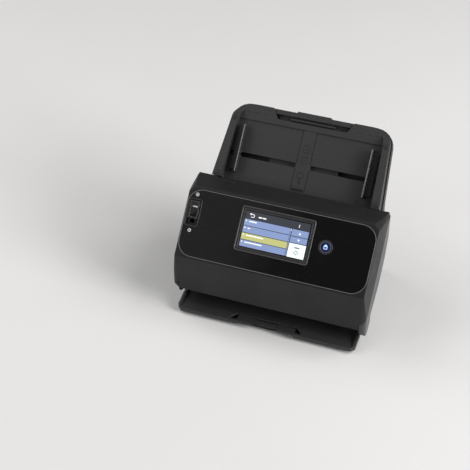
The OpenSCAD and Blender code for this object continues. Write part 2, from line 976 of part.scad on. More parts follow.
notch_x = 93;
notch_w = 23;
notch_d = 3;
window_w = screen_w + 2 * bezel_rim - 4;
window_h = screen_h + 2 * bezel_rim - 4;
module front_cover() {
  color("#2c2c2e") difference() {
    union() {
      difference() {
        unit_envelope();
        unit_hollow_space();
      }
      intersection() {
        at_origin() prism(
          [
            [-front_y, lip_z],
            [wall - front_y, lip_z],
            [wall - front_y, unit_low.y + 2 * wall],
            [-front_y, unit_low.y + 2 * wall]
          ],
          -unit_half, unit_half
        );
        plan_outline(0);
      }
    }
    at_origin() both_sides()
      box(
        notch_x, notch_x + notch_w, mouth.x - notch_d, mouth.x + notch_d, mouth.y - 2 * wall,
        mouth.y + 2 * wall
      );
    on_path() translate([0, panel_mid, panel_face - panel_t]) linear_extrude(2 * panel_t)
      rounded_plate(panel_w, panel_len, panel_r);
    on_face(screen_x, screen_s, front_t) cube([window_w, window_h, 4 * wall], center = true);
    on_face(-lever_x, lever_s, front_t) cube([recess_w, recess_len, 4 * wall], center = true);
    on_face(home_x, home_s, front_t - 2 * wall) cylinder(r = home_d / 2 + home_rim, h = 4 * wall);
  }
}

// Bearing lugs that carry an idle shaft on the upper guide plate
module lugs(axis, x) {
  both_sides() difference() {
    box(
      x - lug_t, x, axis.x - idle_shaft_r - lug_margin, axis.x + idle_shaft_r + lug_margin,
      upper_plate_low, axis.y + idle_shaft_r + lug_margin
    );
    rod(axis, idle_shaft_r + run_fit, x - lug_t - 1, x + 1);
  }
}

module front_guide() {
  plate_v = -path_end + 10;
  throat_v = -3;
  throat = [
    [throat_v, upper_plate_low], [mouth_v - 1.5, seam_w - 1.5], [mouth_v - 3, seam_w],
    [throat_v - 1, upper_plate_top]
  ];
  post_top = front_t - wall;
  color("#242426") {
    on_path() {
      difference() {
        union() {
          box(-unit_half, unit_half, plate_v, throat_v, upper_plate_low, upper_plate_top);
          both_sides() box(
            unit_half - wall, unit_half, plate_v + 16, throat_v, upper_plate_low, seam_w + 10
          );
        }
        tyre_windows(-1, upper_plate_top + 1);
        box(
          -retard_half - window_gap, retard_half + window_gap, -feed_v - retard_r - window_gap,
          -feed_v + retard_r + window_gap, -1, 4
        );
        box(
          -sheet_half, sheet_half, -front_sensor_v - glass_len / 2, -front_sensor_v + glass_len / 2,
          -1, 4
        );
        rod(transport_pinch_axis, idle_shaft_r + 1, 1 - pinch_shaft_half, pinch_shaft_half - 1);
        rod(eject_pinch_axis, idle_shaft_r + 1, 1 - pinch_shaft_half, pinch_shaft_half - 1);
      }
      prism(throat, -unit_half, unit_half);
      lugs(retard_axis, retard_shaft_half);
      lugs(transport_pinch_axis, pinch_shaft_half);
      lugs(eject_pinch_axis, pinch_shaft_half);
      for (p = post_places) translate([p.x, p.y, upper_plate_top])
        cylinder(r = post_r, h = post_top - upper_plate_top);
    }
    difference() {
      both_sides() {
        at_origin() rod(pivot, ear_hub_r, unit_half - ear_len, unit_half);
        on_path() box(unit_half - ear_len, unit_half, pivot_v, plate_v + 4, upper_plate_low, pivot_w + 2);
      }
      at_origin() rod(pivot, pin_r + run_fit, -half_w, half_w);
    }
  }
}

module control_panel() {
  color("#0b0b0c") difference() {
    on_path() translate([0, panel_mid, panel_face - panel_t]) linear_extrude(panel_t)
      rounded_plate(panel_w, panel_len, panel_r);
    on_face(screen_x, screen_s, front_t) cube([window_w, window_h, 4 * wall], center = true);
    on_face(-lever_x, lever_s, front_t) cube([recess_w, recess_len, 4 * wall], center = true);
    on_face(home_x, home_s, front_t - 2 * wall) cylinder(r = home_d / 2 + home_rim, h = 4 * wall);
  }
}

bezel_r = 4;
module screen_bezel() {
  color("#3b3b3f") on_face(screen_x, screen_s, panel_face) difference() {
    linear_extrude(bezel_h) rounded_plate(screen_w + 2 * bezel_rim, screen_h + 2 * bezel_rim, bezel_r);
    translate([0, 0, bezel_h / 2]) cube([screen_w, screen_h, 2 * bezel_h], center = true);
  }
}

module touch_glass() {
  color("#4a5570") on_face(screen_x, screen_s, panel_face) linear_extrude(glass_t)
    square([screen_w, screen_h], center = true);
}

module display_module() {
  color("#2b2e33") on_face(screen_x, screen_s, panel_face - module_t) linear_extrude(module_t)
    square([window_w, window_h], center = true);
}

module panel_board() {
  color("#1f5a3a") on_face(screen_x, screen_s, panel_face - module_t - board_t)
    linear_extrude(board_t) square([window_w + 20, window_h], center = true);
}

slot_w = 6;
module lever_housing() {
  floor_z = panel_face - recess_d;
  color("#0d0d0e") on_face(-lever_x, lever_s, floor_z) difference() {
    translate([0, 0, recess_d / 2]) cube([recess_w, recess_len, recess_d], center = true);
    translate([0, 0, recess_d / 2 + 1.5]) cube([recess_w - 3, recess_len - 3, recess_d], center = true);
    cube([slot_w, recess_len - 8, 4], center = true);
  }
}

module feed_lever() {
  knob_w = recess_w - 3 - 2 * slide_gap;
  knob_low = panel_face - recess_d + 1.5 + slide_gap;
  knob_h = recess_d - 0.6;
  lever_y = lever_s - recess_len / 2 + 1.5 + slide_gap + lever_len / 2 + 0.6;
  color("#050506") on_face(-lever_x, lever_y, knob_low) {
    difference() {
      translate([0, 0, knob_h / 2]) cube([knob_w, lever_len, knob_h], center = true);
      translate([0, 0, knob_h + 12]) rotate([0, 90, 0]) cylinder(r = 12.8, h = knob_w - 2, center = true);
    }
    translate([0, 0, -2]) cube([slot_w - 2 * slide_gap, slot_w, 4 + 0.2], center = true);
  }
}

module home_ring() {
  color("#5b5d61") on_face(home_x, home_s, panel_face - 3) difference() {
    cylinder(r = home_d / 2 + home_rim, h = 3.4);
    translate([0, 0, 1]) cylinder(r = home_d / 2 + slide_gap, h = 4);
  }
}

module home_button() {
  color("#22304f") on_face(home_x, home_s, panel_face - 2 + home_travel + 0.2)
    cylinder(r = home_d / 2, h = 2);
}

module front_sensor() {
  color("#3a3a3d") on_path() box(
    -sensor_half, sensor_half, -front_sensor_v - sensor_len / 2, -front_sensor_v + sensor_len / 2,
    upper_plate_top, upper_plate_top + sensor_depth
  );
}

module front_glass() {
  color("#bcd3d6") on_path() box(
    -sheet_half, sheet_half, -front_sensor_v - glass_len / 2, -front_sensor_v + glass_len / 2,
    upper_plate_low, upper_plate_top
  );
}

// Feed tray

// Finger pocket for the extension's grips, open at the tray's upper edge
module pocket_outline(grow) {
  polygon(rounded(
    [
      [-ext_half - grow - 1, tray_top + 2],
      [ext_half + grow + 1, tray_top + 2],
      [ext_half + grow - pocket_slope, tray_top - pocket_h],
      [pocket_slope - ext_half - grow, tray_top - pocket_h]
    ],
    [0, 0, 6, 6]
  ));
}

module feed_tray() {
  band_v = tray_top - 24;
  wall_end = tray_top - 8;
  wall_start = mouth_v + 1.5;
  skin = 2;
  wall_side = [
    [wall_start, 0], [wall_start, tray_wall_low], [wall_end - 12, tray_wall_top], [wall_end, 0]
  ];
  hollow_side = drawn_in(wall_side, [skin, skin, skin, -tray_t - 1]);
  color("#37373a") on_path() difference() {
    union() {
      translate([0, 0, -tray_t]) linear_extrude(tray_t) tray_outline(tray_low, 0, 0);
      intersection() {
        prism(wall_side, -2 * tray_half_low, 2 * tray_half_low);
        linear_extrude(2 * tray_wall_low) difference() {
          tray_outline(tray_low, 0, 0);
          translate([0, -1]) tray_outline(tray_low, -tray_wall_w_low, -tray_wall_w_top);
        }
      }
      intersection() {
        linear_extrude(tray_band) tray_outline(tray_low, -tray_wall_w_low / 2, -tray_wall_w_top / 2);
        box(-tray_half_low, tray_half_low, band_v, tray_top + 1, 0, tray_band);
      }
      box(-tray_rib_half, tray_rib_half, tray_low + 23, band_v + 1, 0, 0.9);
    }
    intersection() {
      prism(hollow_side, -2 * tray_half_low, 2 * tray_half_low);
      translate([0, 0, -2 * tray_t]) linear_extrude(3 * tray_wall_low) difference() {
        tray_outline(tray_low - 1, -skin, -skin);
        translate([0, -1]) tray_outline(tray_low - 2, skin - tray_wall_w_low, skin - tray_wall_w_top);
      }
    }
    both_sides() box(
      tray_rib_half + 2, sheet_w / 2 + guide_t + guide_foot, slot_v - slot_h / 2,
      slot_v + slot_h / 2, -2 * tray_t, 1
    );
    both_sides() box(
      guide_x, sheet_w / 2 + guide_foot + slide_gap, guide_v + 4 - slide_gap,
      guide_v + guide_len - 4 + slide_gap,
      0, foot_t + 2 * slide_gap
    );
    translate([0, 0, -2 * tray_t]) linear_extrude(4 * tray_t) pocket_outline(slide_gap);
    pinion_hole();
  }
}

// Bearing hole of the guide pinion's stub, through the panel
module pinion_hole() {
  translate([0, slot_v, -2 * tray_t]) cylinder(r = idle_shaft_r + run_fit, h = tray_t * 2 - 0.8);
}

module tray_back() {
  depth = tray_back_t;
  color("#2b2b2d") on_path() difference() {
    translate([0, 0, -tray_t - depth]) linear_extrude(depth) tray_outline(tray_back_low, 2, 2);
    translate([0, 0, wall - tray_t - depth]) linear_extrude(depth) intersection() {
      tray_outline(tray_back_low - 1, 2 - wall, 2 - wall);
      translate([-tray_half_low * 2, tray_back_low + wall])
        square([tray_half_low * 4, tray_top - tray_back_low - 2 * wall]);
    }
    translate([-ext_half - 1 - slide_gap, tray_top - 2 * wall, wall - tray_t - depth])
      cube([2 * (ext_half + 1 + slide_gap), 4 * wall, depth]);
  }
}

// Document guides with their racks

// Teeth of a rack whose root line is at v, from x on its own side to the reach past the middle
module rack_teeth(s, x, reach, v) {
  half_root = 0.95;
  half_tip = 0.45;
  tip_v = v + s * 1.6 * tooth_h;
  foot_v = v - s * 0.1;
  for (i = [-floor(reach / tooth_pitch):floor(x / tooth_pitch) - 1]) let (c = s * (i + 0.5) * tooth_pitch)
    polygon(
      [[c - half_root, foot_v], [c - half_tip, tip_v], [c + half_tip, tip_v], [c + half_root, foot_v]]
    );
}

// Guide on the side given by s, with its rack on the far side of the slot for s below zero
module document_guide(s) {
  root = pinion_r + tooth_h;
  reach = 22;
  block_w = 6;
  block_x = guide_x + guide_t + 0.5;
  rack_v = slot_v - s * root;
  on_path() {
    box_side(s, guide_x, guide_x + guide_t, guide_v, guide_v + guide_len, slide_gap, guide_h);
    box_side(
      s, guide_x, guide_x + guide_foot, guide_v + 4, guide_v + guide_len - 4, slide_gap,
      slide_gap + foot_t
    );
    box_side(
      s, block_x, block_x + block_w, slot_v - slot_h / 2 + slide_gap,
      slot_v + slot_h / 2 - slide_gap, rack_top - rack_t, slide_gap + 1
    );
    box_side(
      s, block_x, block_x + block_w, min(slot_v, rack_v - s * rack_back),
      max(slot_v, rack_v - s * rack_back), rack_top - rack_t, rack_top
    );
    box_side(
      s, -reach, block_x + block_w, min(rack_v, rack_v - s * rack_back),
      max(rack_v, rack_v - s * rack_back), rack_top - rack_t, rack_top
    );
    translate([0, 0, rack_top - rack_t]) linear_extrude(rack_t) rack_teeth(s, block_x, reach, rack_v);
  }
}

module left_guide() {
  color("#2e2e31") document_guide(-1);
}

module right_guide() {
  color("#2e2e31") document_guide(1);
}

module guide_pinion() {
  color("#d8d5c8") on_path() translate([0, slot_v, 0]) {
    translate([0, 0, rack_top - rack_t]) linear_extrude(rack_t) {
      circle(pinion_r - 1.15 * tooth_h);
      for (i = [0:pinion_teeth - 1]) rotate(90 + i * 360 / pinion_teeth)
        polygon(
          [
            [pinion_r - 1.6 * tooth_h, -0.8], [pinion_r + 0.75 * tooth_h, -0.4],
            [pinion_r + 0.75 * tooth_h, 0.4], [pinion_r - 1.6 * tooth_h, 0.8]
          ]
        );
    }
    translate([0, 0, rack_top - rack_t]) cylinder(r = idle_shaft_r, h = rack_t + tray_t - 1);
  }
}

// Feed extension

module feed_extension() {
  grip_low = tray_top - grip_h;
  color("#333336") on_path() {
    box(
      -ext_half + pocket_slope, ext_half - pocket_slope, ext_low_v, grip_low + 1, ext_top - ext_t,
      ext_top
    );
    difference() {
      translate([0, 0, ext_top - ext_t]) linear_extrude(ext_t - ext_top) intersection() {
        pocket_outline(-slide_gap);
        translate([-ext_half, grip_low]) square([2 * ext_half, grip_h - 0.6]);
      }
      box(-tip_half - slide_gap, tip_half + slide_gap, grip_low - 1, tray_top, ext_top, 1);
    }
  }
}

module extension_tip() {
  grip_low = tray_top - grip_h;
  hook = 2;
  color("#3a3a3d") on_path() {
    box(-tip_half + 1, tip_half - 1, ext_low_v, tray_top - 0.6 + hook, tip_top - ext_t, tip_top);
    box(-tip_half, tip_half, tray_top - 0.6 + slide_gap, tray_top - 0.6 + hook, tip_top - ext_t, 0);
    box(-tip_half, tip_half, grip_low, tray_top - 0.6 + hook, ext_top + slide_gap, 0);
  }
}

// Eject tray

module finger_outline(grow) {
  polygon([
    [-finger_half - grow, finger_front],
    [finger_half + grow, finger_front],
    [finger_half + grow - finger_slope, finger_front + finger_len],
    [finger_slope - finger_half - grow, finger_front + finger_len]
  ]);
}

module eject_tray() {
  floor_low = eject_z - eject_t;
  cut_corner = 6;
  rim_end = eject_shoulder - 4;
  plan = [
    [-eject_half, eject_shoulder],
    [-eject_half, eject_front + cut_corner],
    [-eject_half + cut_corner, eject_front],
    [eject_half - cut_corner, eject_front],
    [eject_half, eject_front + cut_corner],
    [eject_half, eject_shoulder]
  ];
  color("#2a2a2c") at_origin() difference() {
    union() {
      translate([0, 0, floor_low]) linear_extrude(eject_t) polygon(plan);
      box(-eject_inner_half, eject_inner_half, eject_shoulder - 1, eject_back, floor_low, eject_z);
      both_sides() box(
        eject_inner_half - 4, eject_inner_half, case_front + 5, eject_back, ext_floor, eject_z
      );
      intersection() {
        translate([0, 0, lip_low]) linear_extrude(eject_z) polygon(plan);
        union() {
          box(-eject_half, eject_half, eject_front, eject_front + eject_rim, lip_low, eject_z + 1);
          both_sides() prism(
            [
              [eject_front, lip_low], [eject_front, eject_z + 1], [rim_end, eject_z + eject_rise],
              [rim_end, lip_low]
            ],
            eject_half - eject_rim, eject_half
          );
        }
      }
    }
    translate([0, 0, lip_low - 1]) linear_extrude(2 * eject_z) finger_outline(0);
    box(
      -eject_ext_half - slide_gap, eject_ext_half + slide_gap, eject_front - 1,
      eject_front + 2 * eject_rim, 0, floor_low
    );
    box(
      -stopper_half - 1, stopper_half + 1, eject_front - 1, eject_front + 2 * eject_rim, 0,
      3 * eject_z
    );
    both_sides() translate([hole_x, eject_front + 4, 0]) cylinder(r = 1.2, h = 3 * eject_z);
  }
}

stopper_axis = [finger_front + 1.6, ext_floor + eject_ext_t / 2];
module eject_extension() {
  well = stopper_len + stopper_pin_r + 1;
  color("#242426") at_origin() difference() {
    box(
      -eject_ext_half, eject_ext_half, finger_front, finger_front + eject_ext_len, ext_floor,
      ext_floor + eject_ext_t
    );
    box(
      -stopper_half - slide_gap, stopper_half + slide_gap, finger_front - 1, stopper_axis.x + well,
      0, eject_z
    );
    rod(stopper_axis, 0.5 + run_fit, -stopper_half - 3, stopper_half + 3);
  }
}

module document_stopper() {
  color("#38383b") at_origin() {
    rod(stopper_axis, stopper_pin_r, -stopper_half, stopper_half);
    rod(stopper_axis, 0.5, -stopper_half - 2.5, stopper_half + 2.5);
    box(
      -stopper_half, stopper_half, stopper_axis.x, stopper_axis.x + stopper_len,
      stopper_axis.y - stopper_pin_r, stopper_axis.y + stopper_pin_r
    );
  }
}

lower_case();
rear_cover();
belly_cover();
left_side_cover();
right_side_cover();
left_frame();
right_frame();
lower_guide_plate();
rear_sensor();
rear_glass();
feed_tray();
tray_back();
drive_motor();
timing_belt();
main_board();
dc_jack();
usb_port();
lan_port();
rubber_feet();
case_screws();
left_hinge_pin();
right_hinge_pin();
motor_pulley();
feed_roller();
feed_tyres();
transport_roller();
transport_tyres();
eject_roller();
eject_tyres();
front_cover();
front_guide();
control_panel();
screen_bezel();
touch_glass();
display_module();
panel_board();
lever_housing();
home_ring();
front_sensor();
front_glass();
retard_roller();
transport_pinch();
eject_pinch();
feed_lever();
home_button();
left_guide();
right_guide();
guide_pinion();
feed_extension();
extension_tip();
eject_tray();
eject_extension();
document_stopper();
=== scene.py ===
"""Looks of a sheet-fed document scanner with a slanted touch panel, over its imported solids."""

import json
import logging
import math
from dataclasses import dataclass, field, replace
from enum import Enum
from typing import Sequence

import bpy
from mathutils import Matrix, Vector


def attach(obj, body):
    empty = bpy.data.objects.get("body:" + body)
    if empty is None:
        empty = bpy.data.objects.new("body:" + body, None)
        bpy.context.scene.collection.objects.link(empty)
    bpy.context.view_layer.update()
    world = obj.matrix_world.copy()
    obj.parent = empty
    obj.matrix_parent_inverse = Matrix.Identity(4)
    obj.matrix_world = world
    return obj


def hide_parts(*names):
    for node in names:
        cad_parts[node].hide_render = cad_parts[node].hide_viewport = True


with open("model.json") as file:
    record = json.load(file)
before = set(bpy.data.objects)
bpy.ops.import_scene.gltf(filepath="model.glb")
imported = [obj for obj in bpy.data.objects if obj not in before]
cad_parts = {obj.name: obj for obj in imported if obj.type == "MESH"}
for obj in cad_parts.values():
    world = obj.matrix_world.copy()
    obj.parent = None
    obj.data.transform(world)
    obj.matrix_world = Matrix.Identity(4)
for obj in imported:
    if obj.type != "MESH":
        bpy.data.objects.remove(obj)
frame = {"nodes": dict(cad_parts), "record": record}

LOG = logging.getLogger("scanner")
MM = 0.001
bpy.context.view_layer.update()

Colour = tuple[float, float, float]
Point = tuple[float, float, float]
Span = tuple[float, float]
Area = tuple[float, float, float, float]
Piece = bpy.types.Object
Socket = bpy.types.NodeSocket
Tree = bpy.types.NodeTree
Material = bpy.types.Material

# Millimetres: half the depth with the trays closed, the feed tray's reach up the path, the gloss
# panel's upper edge up the path and its face off the path, and the thickness of a printed layer.
HALF_DEPTH = 122.5
TRAY_REACH = 159.0
PANEL_TOP = -4.0
PANEL_FACE = 65.1
PRINT = 0.06

# Steps round the corner of a plate and of an open frame, and samples of a rounded edge's normal.
PLATE_ARC = 7
FRAME_ARC = 10
EDGE_SAMPLES = 6


class Side(Enum):
    """Side of the scanner, as seen by a person who faces the panel."""

    LEFT = -1
    RIGHT = 1


class Body(Enum):
    """Moving bodies that carry added pieces."""

    BASE = "base"
    FRONT_UNIT = "front_unit"
    LEVER = "lever"
    HOME = "home"
    GUIDE_LEFT = "guide_left"
    GUIDE_RIGHT = "guide_right"
    EJECT = "eject"
    FEED_EXT = "feed_ext"


class Ink(Enum):
    """Inks of the display's picture, each with its finish."""

    SLATE = "display_slate"
    BLUE = "display_blue"
    OLIVE = "display_olive"
    PALE = "display_pale"
    WHITE = "display_white"
    DARK = "display_ink"


def shift(x: float, y: float, z: float) -> Matrix:
    """Gives a move by millimetres."""
    return Matrix.Translation(Vector((x, y, z)) * MM)


def turned(angle: float, axis: str) -> Matrix:
    """Gives a turn about an axis, in degrees."""
    return Matrix.Rotation(math.radians(angle), 4, axis)


@dataclass(frozen=True)
class PathFrame:
    """Slanted frame of the paper path: u across, v up the path, w off it, in millimetres."""

    slant: float = 45.0
    origin_y: float = HALF_DEPTH - TRAY_REACH * math.sqrt(0.5)
    origin_z: float = 130.0

    def place(self, u: float, v: float, w: float, turn: float = 0.0) -> Matrix:
        """Gives the world place of a piece that lies on the path.

        Args:
            u: Distance to the right of the middle.
            v: Distance up the path.
            w: Distance off the path.
            turn: Turn about the normal of the path, in degrees.

        Returns:
            The matrix from the piece's own frame, in metres.
        """
        c, s = math.cos(math.radians(self.slant)), math.sin(math.radians(self.slant))
        at = shift(u, self.origin_y + v * c - w * s, self.origin_z + v * s + w * c)
        return at @ turned(self.slant, "X") @ turned(turn, "Z")


PATH = PathFrame()


def on_panel(x: float, s: float, lift: float = 0.0, turn: float = 0.0) -> Matrix:
    """Gives a place on the gloss panel.

    Args:
        x: Distance to the right of the middle.
        s: Distance below the panel's upper edge.
        lift: Height above the panel's face.
        turn: Turn about the panel's normal, in degrees.

    Returns:
        The matrix of that place.
    """
    return PATH.place(x, PANEL_TOP - s, PANEL_FACE + lift, turn)


class Bench:
    """Modelling steps that the pieces share."""

    SHARP = math.radians(35.0)
    WELD = 0.004 * MM

    @staticmethod
    def clear() -> None:
        """Deselects everything, in object mode."""
        if bpy.context.object and bpy.context.object.mode != "OBJECT":
            bpy.ops.object.mode_set(mode="OBJECT")
        bpy.ops.object.select_all(action="DESELECT")

    @staticmethod
    def pick(piece: Piece) -> None:
        """Makes a piece the active one, and the only one selected.

        Args:
            piece: The piece.
        """
        Bench.clear()
        piece.select_set(True)
        bpy.context.view_layer.objects.active = piece

    @staticmethod
    def edit() -> None:
        """Opens the active piece in edit mode with everything selected."""
        bpy.ops.object.mode_set(mode="EDIT")
        bpy.ops.mesh.select_mode(type="VERT")
        bpy.ops.mesh.select_all(action="SELECT")

    @staticmethod
    def close() -> None:
        """Turns all faces outwards and leaves edit mode."""
        bpy.ops.mesh.select_all(action="SELECT")
        bpy.ops.mesh.normals_make_consistent(inside=False)
        bpy.ops.object.mode_set(mode="OBJECT")

    @staticmethod
    def soften(piece: Piece, width: float, steps: int) -> None:
        """Rounds the sharp edges of a piece, and welds the points where two roundings meet.

        Args:
            piece: The piece, active and selected.
            width: Width of the rounding in millimetres, or zero for none.
            steps: Steps across the rounding, one for a flat chamfer.
        """
        if width <= 0.0:
            return
        bevel = piece.modifiers.new("soften", "BEVEL")
        bevel.width = width * MM
        bevel.segments = steps
        bevel.limit_method = "ANGLE"
        bevel.angle_limit = Bench.SHARP
        bpy.ops.object.modifier_apply(modifier=bevel.name)
        Bench.edit()
        bpy.ops.mesh.remove_doubles(threshold=Bench.WELD)
        Bench.close()

    @staticmethod
    def thicken(name: str, shape: "Plate | Disc", place: Matrix | None) -> Piece:
        """Makes the outline that is open in edit mode a plate, or an open frame where it has a rim.

        Args:
            name: Name of the piece.
            shape: Its thickness, rim and rounding.
            place: Matrix of its place, or None to leave it on the origin.

        Returns:
            The piece.
        """
        bpy.ops.mesh.select_all(action="SELECT")
        if shape.rim > 0.0:
            bpy.ops.mesh.select_mode(type="FACE")
            bpy.ops.mesh.inset(thickness=shape.rim * MM)
            bpy.ops.mesh.delete(type="FACE")
            bpy.ops.mesh.select_all(action="SELECT")
        rise = {"value": (0.0, 0.0, shape.thick * MM)}
        bpy.ops.mesh.extrude_region_move(TRANSFORM_OT_translate=rise)
        Bench.close()
        piece = bpy.context.object
        piece.name = name
        Bench.soften(piece, shape.bevel, shape.steps)
        return piece if place is None else Bench.put(piece, place)

    @staticmethod
    def cut(piece: Piece, at: Sequence[float], normal: Sequence[float]) -> None:
        """Cuts off what lies on the normal's side of a plane, and closes the cut.

        Args:
            piece: The piece, still in its own frame.
            at: Point of the plane in millimetres.
            normal: Direction of the side that goes.
        """
        Bench.pick(piece)
        Bench.edit()
        bpy.ops.mesh.bisect(
            plane_co=[c * MM for c in at], plane_no=list(normal), use_fill=True, clear_outer=True
        )
        Bench.close()

    @staticmethod
    def put(piece: Piece, place: Matrix) -> Piece:
        """Moves a piece to its place and leaves the place in its mesh.

        Args:
            piece: The piece, in its own frame.
            place: Matrix of the place.

        Returns:
            The same piece.
        """
        Bench.pick(piece)
        piece.matrix_world = place
        bpy.ops.object.transform_apply(location=True, rotation=True, scale=True)
        return piece

    @staticmethod
    def join(pieces: Sequence[Piece], name: str) -> Piece:
        """Joins pieces into one.

        Args:
            pieces: The pieces, at their places.
            name: Name of the joined piece.

        Returns:
            The joined piece.
        """
        Bench.clear()
        for piece in pieces:
            piece.select_set(True)
        bpy.context.view_layer.objects.active = pieces[0]
        if len(pieces) > 1:
            bpy.ops.object.join()
        joined = bpy.context.view_layer.objects.active
        joined.name = name
        joined.data.name = name
        return joined


@dataclass(frozen=True)
class Plate:
    """A plate with rounded corners, or an open frame where it has a rim, in millimetres."""

    width: float
    length: float
    corner: float
    thick: float
    bevel: float = 0.0
    steps: int = 2
    rim: float = 0.0

    def make(self, name: str, place: Matrix | None = None) -> Piece:
        """Models the plate from a flat rectangle.

        Args:
            name: Name of the piece.
            place: Matrix of its place, or None to leave it on the origin.

        Returns:
            The plate.
        """
        Bench.clear()
        bpy.ops.mesh.primitive_plane_add(size=1.0)
        bpy.context.object.scale = (self.width * MM, self.length * MM, 1.0)
        bpy.ops.object.transform_apply(location=False, rotation=False, scale=True)
        Bench.edit()
        arc = FRAME_ARC if self.rim > 0.0 else PLATE_ARC
        bpy.ops.mesh.bevel(offset=self.corner * MM, segments=arc, affect="VERTICES")
        return Bench.thicken(name, self, place)


@dataclass(frozen=True)
class Disc:
    """A round or many-sided plate, or a ring where it has a rim, in millimetres."""

    radius: float
    thick: float
    bevel: float = 0.0
    sides: int = 48
    rim: float = 0.0
    steps: int = 2

    def make(self, name: str, place: Matrix | None = None) -> Piece:
        """Models the disc from a filled circle.

        Args:
            name: Name of the piece.
            place: Matrix of its place, or None to leave it on the origin.

        Returns:
            The disc.
        """
        Bench.clear()
        bpy.ops.mesh.primitive_circle_add(
            vertices=self.sides, radius=self.radius * MM, fill_type="NGON"
        )
        Bench.edit()
        return Bench.thicken(name, self, place)


class Wiring:
    """A node tree in the making."""

    def __init__(self, tree: Tree) -> None:
        """Takes the tree that the nodes go into."""
        self.tree = tree

    def feed(self, into: Socket, value: object) -> None:
        """Feeds an input.

        Args:
            into: The input.
            value: Socket that is linked to it, or plain value that it is set to.
        """
        if isinstance(value, Socket):
            self.tree.links.new(value, into)
        else:
            into.default_value = value

    def node(
        self, kind: str, inputs: dict[str | int, object] | None = None, **settings: object
    ) -> bpy.types.Node:
        """Adds a node.

        Args:
            kind: Type of the shader node, without its prefix.
            inputs: Socket or value for each input, by name or number.
            settings: The node's own settings.

        Returns:
            The node.
        """
        made = self.tree.nodes.new("ShaderNode" + kind)
        for key, value in settings.items():
            setattr(made, key, value)
        for key, value in (inputs or {}).items():
            self.feed(made.inputs[key], value)
        return made


class Group(Wiring):
    """A shader node group in the making, with named inputs and outputs."""

    def __init__(self, name: str, inputs: dict[str, float | None]) -> None:
        """Makes an empty group.

        Args:
            name: Name of the group.
            inputs: Start value of each number that goes in, or None for a vector.
        """
        super().__init__(bpy.data.node_groups.new(name, "ShaderNodeTree"))
        for label, value in inputs.items():
            kind = "NodeSocketVector" if value is None else "NodeSocketFloat"
            socket = self.tree.interface.new_socket(label, in_out="INPUT", socket_type=kind)
            if value is not None:
                socket.default_value = value
        self.given = self.tree.nodes.new("NodeGroupInput").outputs

    def give(self, **results: Socket) -> Tree:
        """Finishes the group.

        Args:
            results: Socket for each output, by the output's name.

        Returns:
            The finished group.
        """
        for label in results:
            self.tree.interface.new_socket(label, in_out="OUTPUT", socket_type="NodeSocketFloat")
        out = self.tree.nodes.new("NodeGroupOutput")
        for label, value in results.items():
            self.feed(out.inputs[label], value)
        return self.tree


